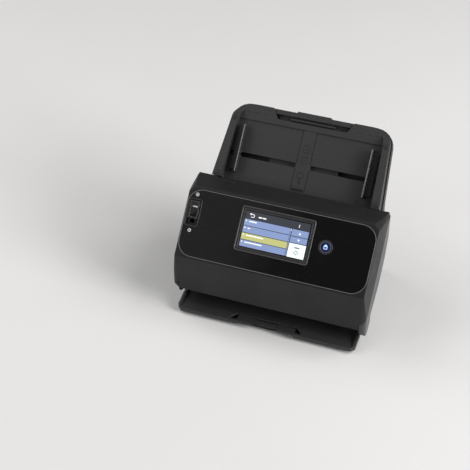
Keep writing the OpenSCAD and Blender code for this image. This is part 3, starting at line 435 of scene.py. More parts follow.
class NodeShop:
    """Shader node groups that several finishes share, each built once."""

    SLOW_SHARE = 0.35
    FINE_DETAIL = 3.0
    # Band of the edge mask whose edges are made lighter: painted highlight, with a little wear.
    EDGE_HIGHLIGHT_BEND: Span = (0.985, 0.86)
    SMUDGE_DETAIL = 5.0
    SMUDGE_ROUGHNESS = 0.62
    SMUDGE_BAND: Span = (0.42, 0.68)
    DUST_SCALE = 620.0
    DUST_DETAIL = 1.0
    DUST_BAND: Span = (0.72, 0.8)
    BRUSH_STRETCH: Point = (0.04, 1.0, 1.0)
    BRUSH_DETAIL = 4.0

    def __init__(self) -> None:
        """Builds the groups."""
        self.grain = self._grain_group()
        self.handling = self._handling_group()
        self.brushed = self._brushed_group()
        self.edge_wear_and_highlight = self._edge_highlight_group()

    @staticmethod
    def _band(group: Group, value: Socket, band: Span) -> Socket:
        """Maps a band of a value onto 0 to 1.

        Args:
            group: The group in the making.
            value: The value.
            band: What becomes 0 and what becomes 1.

        Returns:
            The mapped value.
        """
        low, high = band
        ramp = group.node("MapRange", {"Value": value, "From Min": low, "From Max": high})
        return ramp.outputs["Result"]

    def _grain_group(self) -> Tree:
        """Builds the moulded grain: fine pits over a slower unevenness.

        Returns:
            The group.
        """
        g = Group("moulded_grain", {"Vector": None, "Scale": 1500.0})
        vector, scale = g.given["Vector"], g.given["Scale"]
        pits = g.node("TexVoronoi", {"Vector": vector, "Scale": scale}, feature="SMOOTH_F1")
        slow = g.node("Math", {0: scale, 1: self.SLOW_SHARE}, operation="MULTIPLY").outputs[0]
        fine = g.node("TexNoise", {"Vector": vector, "Scale": slow, "Detail": self.FINE_DETAIL})
        uneven = fine.outputs["Fac"]
        both = g.node("Math", {0: pits.outputs["Distance"], 1: uneven}, operation="ADD")
        return g.give(Height=both.outputs[0], Mask=uneven)

    def _edge_highlight_group(self) -> Tree:
        """Builds a mask of the edges, where a surface is made lighter: a little handling wear, mostly
        painted highlight.

        Returns:
            The group.
        """
        g = Group("edge_wear_and_highlight", {"Radius": 0.0005})
        rounded = g.node("Bevel", {"Radius": g.given["Radius"]}, samples=EDGE_SAMPLES)
        normals = {0: rounded.outputs["Normal"], 1: g.node("NewGeometry").outputs["Normal"]}
        bend = g.node("VectorMath", normals, operation="DOT_PRODUCT")
        return g.give(Mask=self._band(g, bend.outputs["Value"], self.EDGE_HIGHLIGHT_BEND))

    def _handling_group(self) -> Tree:
        """Builds the traces of handling: broad smudges and sparse specks of dust.

        Returns:
            The group.
        """
        g = Group("handling", {"Vector": None, "Smudge Scale": 22.0})
        broad = {"Scale": g.given["Smudge Scale"], "Detail": self.SMUDGE_DETAIL}
        broad["Roughness"] = self.SMUDGE_ROUGHNESS
        sparse = {"Scale": self.DUST_SCALE, "Detail": self.DUST_DETAIL}
        cloud, specks = (
            g.node("TexNoise", {"Vector": g.given["Vector"], **inputs}).outputs["Fac"]
            for inputs in (broad, sparse)
        )
        smudge = self._band(g, cloud, self.SMUDGE_BAND)
        return g.give(Smudge=smudge, Dust=self._band(g, specks, self.DUST_BAND))

    def _brushed_group(self) -> Tree:
        """Builds the brushed metal: long scratches across the width.

        Returns:
            The group.
        """
        g = Group("brushed", {"Vector": None, "Scale": 400.0})
        stretch = g.node("Mapping", {"Vector": g.given["Vector"], "Scale": self.BRUSH_STRETCH})
        lines = {"Vector": stretch.outputs["Vector"], "Scale": g.given["Scale"]}
        scratch = g.node("TexNoise", {**lines, "Detail": self.BRUSH_DETAIL}).outputs["Fac"]
        return g.give(Height=scratch, Mask=scratch)


class Recipe(Wiring):
    """A material in the making: its tree, its shader and the shared coordinates."""

    def __init__(self, name: str) -> None:
        """Starts a material with a Principled shader.

        Args:
            name: Name of the material.
        """
        self.material = bpy.data.materials.new(name)
        self.material.use_nodes = True
        super().__init__(self.material.node_tree)
        self.shader = self.tree.nodes["Principled BSDF"]
        self.coords = self.node("TexCoord").outputs["Object"]

    def surface(self, **values: object) -> None:
        """Feeds the shader's inputs, with underscores for the spaces in their names."""
        for key, value in values.items():
            self.feed(self.shader.inputs[key.replace("_", " ")], value)

    def group(self, tree: Tree, **values: float) -> bpy.types.NodeOutputs:
        """Places a shared group on the object coordinates.

        Args:
            tree: The group.
            values: Input values, with underscores for spaces.

        Returns:
            The outputs of the group's node.
        """
        made = self.node("Group", node_tree=tree)
        if "Vector" in made.inputs:
            self.feed(made.inputs["Vector"], self.coords)
        for key, value in values.items():
            self.feed(made.inputs[key.replace("_", " ")], value)
        return made.outputs

    def mix(self, factor: Socket, a: Colour | Socket, b: Colour | Socket) -> Socket:
        """Mixes two colours, each a colour or a socket.

        Args:
            factor: Share of the second colour.
            a: First colour.
            b: Second colour.

        Returns:
            The mixed colour.
        """
        made = self.node("Mix", {"Factor": factor}, data_type="RGBA")
        for label, value in (("A", a), ("B", b)):
            into = next(i for i in made.inputs if i.name == label and i.type == "RGBA")
            self.feed(into, value if isinstance(value, Socket) else (*value, 1.0))
        return next(o for o in made.outputs if o.type == "RGBA")

    def spread(self, value: Socket, low: float, high: float) -> Socket:
        """Maps a mask from 0 to 1 onto a range and returns the result."""
        made = self.node("MapRange", {"Value": value, "To Min": low, "To Max": high})
        return made.outputs["Result"]

    def wear_and_highlight_edges(self, edge_group_tree: Tree, base: Socket, radius: float, tone: float) -> Socket:
        """Makes the edges of a surface lighter: a little wear, mostly painted highlight.

        Args:
            edge_group_tree: The group that masks the edges.
            base: Colour of the surface.
            radius: Reach of the lighter edges in millimetres, or zero for none.
            tone: Grey of the lighter edges, a painted highlight.

        Returns:
            The colour with its edges.
        """
        if radius <= 0.0:
            return base
        return self.mix(self.group(edge_group_tree, Radius=radius * MM)["Mask"], base, (tone,) * 3)

    def bump(self, height: Socket, depth: float, rounding: float) -> None:
        """Gives the surface relief, over edges that catch the light as rounded ones do.

        Args:
            height: Relief from 0 to 1.
            depth: Depth of the relief in millimetres.
            rounding: Radius of the edges in millimetres, or zero.
        """
        made = self.node("Bump", {"Height": height, "Strength": 1.0, "Distance": depth * MM})
        if rounding > 0.0:
            edge = self.node("Bevel", {"Radius": rounding * MM}, samples=EDGE_SAMPLES)
            self.feed(made.inputs["Normal"], edge.outputs["Normal"])
        self.surface(Normal=made.outputs["Normal"])


def shade(colour: Colour, by: float) -> Colour:
    """Gives a lighter or darker copy of a colour."""
    return tuple(min(1.0, c * by) for c in colour)


@dataclass(frozen=True)
class Finish:
    """What the finishes share; each kind has values of its own.

    Attributes:
        name: Name of the finish.
        colour: Its colour.
        tones: Its darkest and lightest tone, as multiples of the colour.
        grain: Scale of the grain or of the scratches.
        depth: Depth of the grain in millimetres.
        rounding: Radius of the edges that catch the light, in millimetres.
        rough: Roughness.
        gloss: Change of the roughness where a mask begins and where it is full.
        smudge: Scale of the smudges.
        smudge_share: How far smudges cover the colour.
        smudge_tone: Tone of the smudges, as a multiple of the colour.
        dust: Colour of the dust.
        dust_share: How far dust covers the colour.
    """

    name: str
    colour: Colour
    tones: Span = (0.82, 1.2)
    grain: float = 1500.0
    depth: float = 0.02
    rounding: float = 0.5
    rough: float = 0.5
    gloss: Span = (0.05, -0.07)
    smudge: float = 18.0
    smudge_share: float = 0.3
    smudge_tone: float = 1.25
    dust: Colour = (0.16, 0.16, 0.16)
    dust_share: float = 0.25

    def build(self, shop: NodeShop) -> Material:
        """Builds the material.

        Args:
            shop: The shared groups.

        Returns:
            The material.
        """
        recipe = Recipe(self.name)
        self.lay(recipe, shop)
        return recipe.material

    def lay(self, r: Recipe, shop: NodeShop) -> None:
        """Lays the finish on a material, each kind in its own way."""
        raise NotImplementedError

    def varied(self, r: Recipe, mask: Socket) -> Socket:
        """Returns the colour in its two tones over a mask."""
        low, high = (shade(self.colour, tone) for tone in self.tones)
        return r.mix(mask, low, high)

    def smudged(self, r: Recipe, mask: Socket, base: Colour | Socket) -> Socket:
        """Returns a surface with smudges where a mask shows."""
        share = r.spread(mask, 0.0, self.smudge_share)
        return r.mix(share, base, shade(self.colour, self.smudge_tone))

    def dusted(self, r: Recipe, mask: Socket, base: Colour | Socket) -> Socket:
        """Returns a surface with dust where a mask shows."""
        return r.mix(r.spread(mask, 0.0, self.dust_share), base, self.dust)

    def roughness(self, r: Recipe, mask: Socket) -> Socket:
        """Returns the roughness as it changes over a mask."""
        return r.spread(mask, *(self.rough + change for change in self.gloss))


@dataclass(frozen=True)
class MouldedPlastic(Finish):
    """Grained plastic, as moulded, with smudges, dust and lighter edges that are partly wear and
    mostly painted highlight.
    """

    specular: float = 0.5
    # Reach and grey of the lighter edges: a little wear, mostly painted highlight.
    edge: float = 0.0
    edge_highlight_tone: float = 0.12

    def lay(self, r: Recipe, shop: NodeShop) -> None:
        """Lays grain, smudges, dust and lighter edges, partly wear and mostly painted highlight, over
        the colour.

        Args:
            r: The material in the making.
            shop: The shared groups.
        """
        grain = r.group(shop.grain, Scale=self.grain)
        hand = r.group(shop.handling, Smudge_Scale=self.smudge)
        smudged = self.smudged(r, hand["Smudge"], self.varied(r, grain["Mask"]))
        dusty = self.dusted(r, hand["Dust"], smudged)
        worn_and_highlighted = r.wear_and_highlight_edges(shop.edge_wear_and_highlight, dusty, self.edge, self.edge_highlight_tone)
        rough = self.roughness(r, hand["Smudge"])
        r.surface(Base_Color=worn_and_highlighted, Roughness=rough, Specular_IOR_Level=self.specular)
        r.bump(grain["Height"], self.depth, self.rounding)


@dataclass(frozen=True)
class GlossPlastic(Finish):
    """High gloss moulding with a clear surface and faint finger marks."""

    grain: float = 160.0
    depth: float = 0.001
    rounding: float = 0.3
    rough: float = 0.07
    gloss: Span = (0.0, 0.09)
    smudge: float = 34.0
    dust: Colour = (0.12, 0.12, 0.125)
    dust_share: float = 0.3
    specular: float = 0.5
    # Reach and grey of the lighter edges: a little wear, mostly painted highlight.
    edge: float = 0.0
    edge_highlight_tone: float = 0.12

    def lay(self, r: Recipe, shop: NodeShop) -> None:
        """Lays dust, finger marks and lighter edges, partly wear and mostly painted highlight, over
        the colour.

        Args:
            r: The material in the making.
            shop: The shared groups.
        """
        grain = r.group(shop.grain, Scale=self.grain)
        hand = r.group(shop.handling, Smudge_Scale=self.smudge)
        dusty = self.dusted(r, hand["Dust"], self.colour)
        worn_and_highlighted = r.wear_and_highlight_edges(shop.edge_wear_and_highlight, dusty, self.edge, self.edge_highlight_tone)
        rough = self.roughness(r, hand["Smudge"])
        r.surface(Base_Color=worn_and_highlighted, Roughness=rough, Specular_IOR_Level=self.specular)
        r.bump(grain["Mask"], self.depth, self.rounding)


@dataclass(frozen=True)
class Metal(Finish):
    """Bare metal with a brushed or plated surface."""

    tones: Span = (0.82, 1.08)
    grain: float = 500.0
    depth: float = 0.004
    rounding: float = 0.15
    rough: float = 0.3
    gloss: Span = (-0.08, 0.1)
    smudge: float = 40.0
    smudge_share: float = 0.25
    smudge_tone: float = 0.7

    def lay(self, r: Recipe, shop: NodeShop) -> None:
        """Lays scratches and stains over the bare metal.

        Args:
            r: The material in the making.
            shop: The shared groups.
        """
        lines = r.group(shop.brushed, Scale=self.grain)
        hand = r.group(shop.handling, Smudge_Scale=self.smudge)
        stained = self.smudged(r, hand["Smudge"], self.varied(r, lines["Mask"]))
        r.surface(Base_Color=stained, Metallic=1.0, Roughness=self.roughness(r, lines["Mask"]))
        r.bump(lines["Height"], self.depth, self.rounding)


@dataclass(frozen=True)
class Rubber(Finish):
    """Soft rubber with a ground surface and traces of paper dust."""

    tones: Span = (0.75, 1.3)
    grain: float = 2600.0
    depth: float = 0.03
    rounding: float = 0.3
    rough: float = 0.65
    gloss: Span = (0.0, 0.25)
    smudge: float = 60.0
    dust: Colour = (0.4, 0.4, 0.39)
    dust_share: float = 0.12

    def lay(self, r: Recipe, shop: NodeShop) -> None:
        """Lays the ground surface and paper dust over the colour.

        Args:
            r: The material in the making.
            shop: The shared groups.
        """
        grain = r.group(shop.grain, Scale=self.grain)
        hand = r.group(shop.handling, Smudge_Scale=self.smudge)
        dusty = self.dusted(r, hand["Smudge"], self.varied(r, grain["Mask"]))
        r.surface(Base_Color=dusty, Roughness=self.roughness(r, grain["Mask"]))
        r.bump(grain["Height"], self.depth, self.rounding)


@dataclass(frozen=True)
class ClearGlass(Finish):
    """Scanning glass with a faint tint and wiping marks."""

    rough: float = 0.02
    gloss: Span = (0.0, 0.06)
    smudge: float = 28.0
    smudge_share: float = 0.4
    smudge_tone: float = 0.85
    clearness: float = 0.85

    def lay(self, r: Recipe, shop: NodeShop) -> None:
        """Lays wiping marks over the clear glass.

        Args:
            r: The material in the making.
            shop: The shared groups.
        """
        wiped = r.group(shop.handling, Smudge_Scale=self.smudge)["Smudge"]
        r.surface(Base_Color=self.smudged(r, wiped, self.colour))
        r.surface(Transmission_Weight=self.clearness, Roughness=self.roughness(r, wiped))


@dataclass(frozen=True)
class LitPrint(Finish):
    """A lit area of the display or of a lamp, with the display's fine dot screen."""

    tones: Span = (0.9, 1.08)
    grain: float = 3200.0
    rough: float = 0.18
    gloss: Span = (0.0, 0.08)
    smudge: float = 30.0
    smudge_share: float = 0.2
    smudge_tone: float = 0.86
    glow: float = 0.5

    def lay(self, r: Recipe, shop: NodeShop) -> None:
        """Lays the dot screen and smudges over the lit colour.

        Args:
            r: The material in the making.
            shop: The shared groups.
        """
        grain = r.group(shop.grain, Scale=self.grain)
        smudge = r.group(shop.handling, Smudge_Scale=self.smudge)["Smudge"]
        dim = self.smudged(r, smudge, self.varied(r, grain["Mask"]))
        r.surface(Base_Color=dim, Emission_Color=dim, Emission_Strength=self.glow)
        r.surface(Roughness=self.roughness(r, smudge))


@dataclass(frozen=True)
class CircuitBoard(Finish):
    """Green board with darker traces and pale solder points."""

    grain: float = 420.0
    depth: float = 0.05
    rounding: float = 0.0
    rough: float = 0.3
    gloss: Span = (0.0, 0.2)
    smudge: float = 90.0
    smudge_tone: float = 0.55
    dust: Colour = (0.55, 0.55, 0.52)

    def lay(self, r: Recipe, shop: NodeShop) -> None:
        """Lays traces and solder points over the board.

        Args:
            r: The material in the making.
            shop: The shared groups.
        """
        grain = r.group(shop.grain, Scale=self.grain)
        hand = r.group(shop.handling, Smudge_Scale=self.smudge)
        traces = r.mix(hand["Smudge"], self.colour, shade(self.colour, self.smudge_tone))
        soldered = r.mix(hand["Dust"], traces, self.dust)
        r.surface(Base_Color=soldered, Roughness=self.roughness(r, grain["Mask"]))
        r.bump(grain["Height"], self.depth, self.rounding)


FINISHES: tuple[Finish, ...] = (
    # Rows with an edge value get lighter edges: a little wear, mostly painted highlight.
    MouldedPlastic(
        "body_black", (0.0115, 0.0115, 0.012), rough=0.46, specular=0.32, edge=0.6, edge_highlight_tone=0.05
    ),
    MouldedPlastic("side_black", (0.03, 0.03, 0.0305), rough=0.3, depth=0.012),
    MouldedPlastic("case_black", (0.0095, 0.0095, 0.01), grain=1200.0, edge=0.7, edge_highlight_tone=0.06),
    MouldedPlastic(
        "tray_grey", (0.031, 0.031, 0.0315), rough=0.48, grain=1300.0, specular=0.38,
        edge=0.35, edge_highlight_tone=0.05,
    ),
    MouldedPlastic(
        "guide_grey", (0.03, 0.03, 0.0305), rough=0.34, grain=1700.0, rounding=0.6,
        edge=0.6, edge_highlight_tone=0.1,
    ),
    MouldedPlastic(
        "bezel_grey", (0.014, 0.014, 0.014), rough=0.34, grain=2000.0, depth=0.008,
        edge=0.5, edge_highlight_tone=0.1,
    ),
    MouldedPlastic("ring_grey", (0.035, 0.035, 0.038), rough=0.22, grain=2000.0, depth=0.004),
    # Light greys for thin rims and lines, the bezel's lip and the lever's glint: painted highlights.
    MouldedPlastic("highlight_grey", (0.13, 0.13, 0.13), rough=0.28, grain=2400.0, depth=0.004),
    MouldedPlastic("glint_grey", (0.5, 0.5, 0.5), rough=0.2, grain=2400.0, depth=0.004),
    MouldedPlastic("highlight_line_grey", (0.055, 0.055, 0.054), rough=0.24, grain=2400.0, depth=0.004),
    MouldedPlastic("lip_highlight_grey", (0.06, 0.059, 0.058), rough=0.24, grain=2400.0, depth=0.004),
    MouldedPlastic("frame_black", (0.008, 0.008, 0.0085), rough=0.42, grain=1900.0, depth=0.012),
    # Darker grey for the raised signs and the wall ends: painted shade.
    MouldedPlastic("mark_shade_grey", (0.012, 0.012, 0.0125), grain=1900.0, depth=0.01),
    MouldedPlastic("sensor_grey", (0.05, 0.05, 0.055)),
    MouldedPlastic("acetal_white", (0.68, 0.69, 0.7), rough=0.4, grain=1800.0, depth=0.01),
    MouldedPlastic("acetal_cream", (0.7, 0.67, 0.58), rough=0.42, grain=1800.0, depth=0.01),
    MouldedPlastic("socket_black", (0.01, 0.01, 0.011), rough=0.4),
    MouldedPlastic("motor_grey", (0.2, 0.2, 0.21), rough=0.35, grain=900.0),
    MouldedPlastic("shadow_black", (0.004, 0.004, 0.0042), rough=0.6),
    MouldedPlastic("print_white", (0.72, 0.72, 0.72), grain=2600.0, depth=0.004, rounding=0.0),
    GlossPlastic("panel_gloss", (0.0022, 0.0022, 0.0024), rough=0.1, specular=0.36),
    # The knob's light edges are a strong painted highlight.
    GlossPlastic(
        "knob_gloss", (0.006, 0.006, 0.0065), rough=0.05, rounding=0.0, edge=0.4, edge_highlight_tone=0.36
    ),
    GlossPlastic("screen_glass", (0.006, 0.0065, 0.008), rough=0.04),
    Metal("bright_steel", (0.6, 0.61, 0.62)),
    Metal("plated_shell", (0.7, 0.71, 0.72), rough=0.18, grain=900.0),
    Rubber("roller_rubber", (0.05, 0.06, 0.075)),
    Rubber("foot_rubber", (0.012, 0.012, 0.013)),
    ClearGlass("scan_glass", (0.75, 0.85, 0.87)),
    CircuitBoard("board_green", (0.02, 0.12, 0.06)),
    LitPrint("display_slate", (0.036, 0.039, 0.05), glow=0.35),
    LitPrint("display_blue", (0.2, 0.265, 0.46), glow=0.45),
    LitPrint("display_olive", (0.44, 0.44, 0.17), glow=0.45),
    LitPrint("display_pale", (0.78, 0.92, 0.93), glow=0.4),
    LitPrint("display_white", (0.85, 0.86, 0.88), glow=0.4),
    LitPrint("display_ink", (0.16, 0.19, 0.2), glow=0.1),
    LitPrint("lamp_navy", (0.003, 0.007, 0.05), glow=0.4),
    LitPrint("lamp_ice", (0.42, 0.62, 0.95), glow=0.7),
)

SLOT_FINISH: dict[str, str] = {
    "body": "body_black",
    "side": "side_black",
    "case": "case_black",
    "tray": "tray_grey",
    "guide": "guide_grey",
    "gloss": "panel_gloss",
    "bezel": "bezel_grey",
    "screen": "screen_glass",
    "glass": "scan_glass",
    "lit_button": "lamp_navy",
    "ring": "ring_grey",
    "steel": "bright_steel",
    "rubber": "roller_rubber",
    "feet": "foot_rubber",
    "pinch": "acetal_white",
    "gear": "acetal_cream",
    "board": "board_green",
    "sensor": "sensor_grey",
    "motor": "motor_grey",
    "socket_metal": "plated_shell",
    "socket_plastic": "socket_black",
}

NODE_FINISH: dict[str, str] = {
    "left_frame": "frame_black",
    "right_frame": "frame_black",
    "left_hinge_pin": "frame_black",
    "right_hinge_pin": "frame_black",
}


class Paintshop:
    """All finishes of the scanner, built once and handed out by name."""

    def __init__(self) -> None:
        """Builds every finish."""
        shop = NodeShop()
        self.made = {finish.name: finish.build(shop) for finish in FINISHES}

    def __getitem__(self, name: str) -> Material:
        """Returns the material of that name."""
        return self.made[name]

    def dress_solids(self) -> None:
        """Gives each carried-over solid its own finish or that of its material slot."""
        for part in frame["record"]["subparts"]:
            solid = frame["nodes"][part["node"]]
            name = NODE_FINISH.get(part["node"], SLOT_FINISH[part["material_slot"]])
            solid.data.materials.clear()
            solid.data.materials.append(self[name])


@dataclass
class Assembly:
    """A sub-assembly whose pieces get their finishes from the paint shop."""

    paint: Paintshop

    def build(self) -> None:
        """Builds and dresses the pieces, in each sub-assembly's own way."""
        raise NotImplementedError

    def dress(self, piece: Piece, finish: str, body: Body, slot: str) -> Piece:
        """Dresses a piece and lets it ride on a body.

        Args:
            piece: The piece, at its place.
            finish: Name of its finish.
            body: The body that carries it.
            slot: The record's material slot; not used.

        Returns:
            The same piece.
        """
        piece.data.materials.clear()
        piece.data.materials.append(self.paint[finish])
        Bench.pick(piece)
        bpy.ops.object.shade_smooth_by_angle(angle=Bench.SHARP)
        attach(piece, body.value)
        LOG.info("piece %s: %d faces", piece.name, len(piece.data.polygons))
        return piece


@dataclass
class ControlPanel(Assembly):
    """Trim of the gloss panel: its rim, whose light grey is a painted highlight along the panel's
    edge, and the marks beside the lever.
    """

    rim: Plate = Plate(279.0, 98.5, 22.0, 0.45, 0.3, 1, rim=1.0)
    rim_sink: float = 0.05
    mark_x: float = -127.0
    marks: tuple[Span, ...] = ((8.4, 0.0), (61.0, 180.0))
    mark_ring: Disc = Disc(2.6, PRINT, rim=0.75)
    mark_arrow: Disc = Disc(1.4, PRINT, sides=3)

    def build(self) -> None:
        """Builds the rim and the marks."""
        rim = self.rim.make("panel_rim", on_panel(0.0, self.rim.length / 2, -self.rim_sink))
        # The rim's light grey is a painted highlight.
        self.dress(rim, "highlight_grey", Body.FRONT_UNIT, "gloss")
        self.lever_marks()

    def lever_marks(self) -> None:
        """Builds the two marks above and below the lever: a ring with an arrow head each."""
        parts = []
        for s, turn in self.marks:
            parts.append(self.mark_ring.make("mark_ring", on_panel(self.mark_x, s)))
            parts.append(self.mark_arrow.make("mark_arrow", on_panel(self.mark_x, s, 0.0, turn)))
        self.dress(Bench.join(parts, "lever_marks"), "print_white", Body.FRONT_UNIT, "gloss")


@dataclass
class TouchScreen(Assembly):
    """The bezel's trim and the display's picture: status bar, four rows, arrow keys and start key.

    Places on the display are shares of its width, from the left, and of its height, from the top.
    An area gives its left, right, upper and lower edge.
    """

    x: float = -2.5
    s: float = 41.5
    width: float = 95.0
    height: float = 51.0
    lift: float = 1.0
    bezel_top: float = 1.38
    corner: float = 0.3
    thin_corner: float = 0.1
    notice_corner: float = 0.2
    bar_corner: float = 0.4
    row_bar_corner: float = 0.5
    corner_limit: float = 0.45
    lip: Plate = Plate(109.0, 65.0, 4.0, 0.9, 0.6, 1, rim=1.9)
    step: Plate = Plate(101.6, 57.6, 2.4, 0.35, 0.2, 1, rim=0.9)
    back_bow: Disc = Disc(2.5, PRINT, sides=32, rim=0.9)
    back_bow_at: Span = (0.112, 0.112)
    back_bars: tuple[Area, ...] = ((0.083, 0.113, 0.063, 0.081), (0.083, 0.113, 0.143, 0.161))
    back_tip: Disc = Disc(2.0, PRINT, sides=3)
    back_tip_at: Span = (0.076, 0.072)
    clock_bars: tuple[Area, ...] = ((0.2, 0.25, 0.1, 0.136), (0.262, 0.318, 0.1, 0.136))
    notice_dot: Disc = Disc(0.7, PRINT, sides=20)
    notice_dot_at: Span = (0.835, 0.085)
    notice_bar: Area = (0.829, 0.841, 0.11, 0.155)
    rows_top: float = 0.215
    row_end: float = 0.712
    row_gap: float = 0.9
    row_bars: tuple[Span, ...] = ((0.07, 0.19), (0.07, 0.11), (0.07, 0.34), (0.07, 0.34))
    row_bar_band: Span = (0.24, 0.4)
    row_mark: Disc = Disc(1.5, PRINT, sides=3)
    row_mark_at: Span = (0.026, 0.3)
    chosen_row: int = 2
    rail: Span = (0.718, 0.731)
    slider: Area = (0.72, 0.729, 0.235, 0.285)
    arrow_keys: tuple[Area, ...] = ((0.742, 0.997, 0.225, 0.405), (0.742, 0.997, 0.425, 0.59))
    arrow_tip: Disc = Disc(2.1, PRINT, sides=3)
    arrow_tips: tuple[Point, ...] = ((0.868, 0.325, 0.0), (0.868, 0.5, 180.0))
    start_key: Area = (0.742, 1.0, 0.612, 0.998)
    start_bar: Area = (0.83, 0.91, 0.7, 0.735)
    start_mark: Disc = Disc(3.6, PRINT, sides=4, rim=0.85)
    start_mark_at: Span = (0.868, 0.855)
    parts: dict[Ink, list[Piece]] = field(default_factory=dict)

    def spot(self, u: float, t: float, layer: int, turn: float = 0.0) -> Matrix:
        """Gives a place on the display.

        Args:
            u: Share of the width, from the left.
            t: Share of the height, from the top.
            layer: Number of printed layers below.
            turn: Turn in degrees.

        Returns:
            The matrix of that place.
        """
        x = self.x + (u - 0.5) * self.width
        s = self.s + (t - 0.5) * self.height
        return on_panel(x, s, self.lift + layer * PRINT, turn)

    def area(self, ink: Ink, edges: Area, corner: float, layer: int = 1) -> None:
        """Adds a filled area.

        Args:
            ink: Ink of the area.
            edges: Its left, right, upper and lower edge.
            corner: Radius of the corners, where the area is large enough for it.
            layer: Number of printed layers below.
        """
        u0, u1, t0, t1 = edges
        w, h = (u1 - u0) * self.width, (t1 - t0) * self.height
        plate = Plate(w, h, min(corner, self.corner_limit * min(w, h)), PRINT)
        piece = plate.make("area", self.spot((u0 + u1) / 2, (t0 + t1) / 2, layer))
        self.parts.setdefault(ink, []).append(piece)

    def shape(self, ink: Ink, piece: Piece, at: Span, layer: int = 1, turn: float = 0.0) -> None:
        """Places a ready shape on the display.

        Args:
            ink: Ink of the shape.
            piece: The shape, on the origin.
            at: Its place on the display.
            layer: Number of printed layers below.
            turn: Turn in degrees.
        """
        self.parts.setdefault(ink, []).append(Bench.put(piece, self.spot(*at, layer, turn)))

    def build(self) -> None:
        """Builds the bezel's trim and the picture, one piece for each ink."""
        self.bezel_trim()
        self.area(Ink.SLATE, (0.0, 1.0, 0.0, 1.0), self.corner, 0)
        self.status_bar()
        self.rows()
        self.key_column()
        for ink, parts in self.parts.items():
            piece = Bench.join(parts, "screen_" + ink.value.split("_")[1])
            self.dress(piece, ink.value, Body.FRONT_UNIT, "screen")

    def bezel_trim(self) -> None:
        """Builds the bezel's raised outer lip and the fine step round the glass, both in lighter greys
        that are painted highlights.
        """
        place = on_panel(self.x, self.s, self.bezel_top)
        # Lip and step are lighter than the bezel: painted highlights.
        self.dress(self.lip.make("bezel_lip", place), "lip_highlight_grey", Body.FRONT_UNIT, "bezel")
        self.dress(self.step.make("bezel_step", place), "highlight_line_grey", Body.FRONT_UNIT, "bezel")

    def status_bar(self) -> None:
        """Adds the back arrow, the two clock bars and the notice mark."""
        bow = self.back_bow.make("back_bow")
        Bench.cut(bow, (0.0, 0.0, 0.0), (-1.0, 0.0, 0.0))
        self.shape(Ink.WHITE, bow, self.back_bow_at)
        for edges in self.back_bars:
            self.area(Ink.WHITE, edges, self.thin_corner)
        self.shape(Ink.WHITE, self.back_tip.make("back_tip"), self.back_tip_at, turn=90.0)
        for edges in self.clock_bars:
            self.area(Ink.WHITE, edges, self.bar_corner)
        self.shape(Ink.WHITE, self.notice_dot.make("notice_dot"), self.notice_dot_at)
        self.area(Ink.WHITE, self.notice_bar, self.notice_corner)

    def rows(self) -> None:
        """Adds the four rows, each with a play mark and a bar, and the scroll bar."""
        pitch = (1.0 - self.rows_top) / len(self.row_bars)
        gap = self.row_gap / self.height / 2
        mark_u, mark_t = self.row_mark_at
        for i, (u0, u1) in enumerate(self.row_bars):
            top = self.rows_top + i * pitch
            ink = Ink.OLIVE if i == self.chosen_row else Ink.BLUE
            self.area(ink, (0.0, self.row_end, top + gap, top + pitch - gap), self.corner)
            mark = self.row_mark.make("row_mark")
            self.shape(Ink.WHITE, mark, (mark_u, top + mark_t * pitch), 2, -90.0)
            t0, t1 = (top + share * pitch for share in self.row_bar_band)
            self.area(Ink.WHITE, (u0, u1, t0, t1), self.row_bar_corner, 2)
        rail = (*self.rail, self.rows_top + gap, 1.0 - gap)
        self.area(Ink.BLUE, rail, self.thin_corner)
        self.area(Ink.WHITE, self.slider, self.thin_corner, 2)

    def key_column(self) -> None:
        """Adds the two arrow keys and the pale start key with its diamond."""
        for edges in self.arrow_keys:
            self.area(Ink.BLUE, edges, self.corner)
        self.area(Ink.PALE, self.start_key, self.corner)
        for u, t, turn in self.arrow_tips:
            self.shape(Ink.WHITE, self.arrow_tip.make("arrow_tip"), (u, t), 2, turn)
        self.area(Ink.DARK, self.start_bar, self.bar_corner, 2)
        self.shape(Ink.DARK, self.start_mark.make("start_mark"), self.start_mark_at, 2)


@dataclass
class FeedLever(Assembly):
    """The lever in its recess: the recess's rim, and a gloss knob with a hollow for the thumb and a
    painted glint under its brow.
    """

    x: float = -127.0
    recess_s: float = 34.7
    rim: Plate = Plate(20.4, 40.4, 4.0, 0.4, 0.2, 1, rim=1.2)
    rim_sink: float = 0.05
    knob_s: float = 30.7
    floor: float = -3.1
    wall: Plate = Plate(14.2, 25.0, 1.6, 4.15, 0.6, 1, rim=1.9)
    hollow: Plate = Plate(13.2, 24.0, 1.2, 1.95, 0.2)
    brow: Plate = Plate(12.2, 8.0, 0.8, 3.85, 0.8, 1)
    brow_up: float = 7.4
    brow_lift: float = 0.3
    foot: Plate = Plate(5.2, 6.0, 0.6, 2.2, 0.2)
    foot_sink: float = 2.0
    step: Plate = Plate(7.4, 2.0, 0.8, 0.12, 0.05)
    glint_at: Point = (0.9, -4.6, 1.03)

    def build(self) -> None:
        """Builds the rim and the knob."""
        rim = self.rim.make("lever_rim", on_panel(self.x, self.recess_s, -self.rim_sink))
        self.dress(rim, "ring_grey", Body.FRONT_UNIT, "gloss")
        self.thumb_knob()

    def thumb_knob(self) -> None:
        """Builds the knob: a walled block with a thumb hollow below its brow, on a sliding foot, and a
        light strip under the brow that is a painted glint.
        """
        middle = on_panel(self.x, self.knob_s, self.floor)
        under_brow = on_panel(self.x, self.knob_s - self.brow_up, self.floor + self.brow_lift)
        under_foot = on_panel(self.x, self.knob_s, self.floor - self.foot_sink)
        parts = [
            self.wall.make("knob_wall", middle),
            self.hollow.make("knob_hollow", middle),
            self.brow.make("knob_brow", under_brow),
            self.foot.make("knob_foot", under_foot),
        ]
        knob = Bench.join(parts, "lever_knob")
        self.dress(knob, "knob_gloss", Body.LEVER, "gloss")
        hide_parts("feed_lever")
        # A near-white strip under the brow: a painted glint.
        across, down, lift = self.glint_at
        step = self.step.make("brow_glint", on_panel(self.x + across, self.knob_s + down, lift))
        self.dress(step, "glint_grey", Body.LEVER, "gloss")


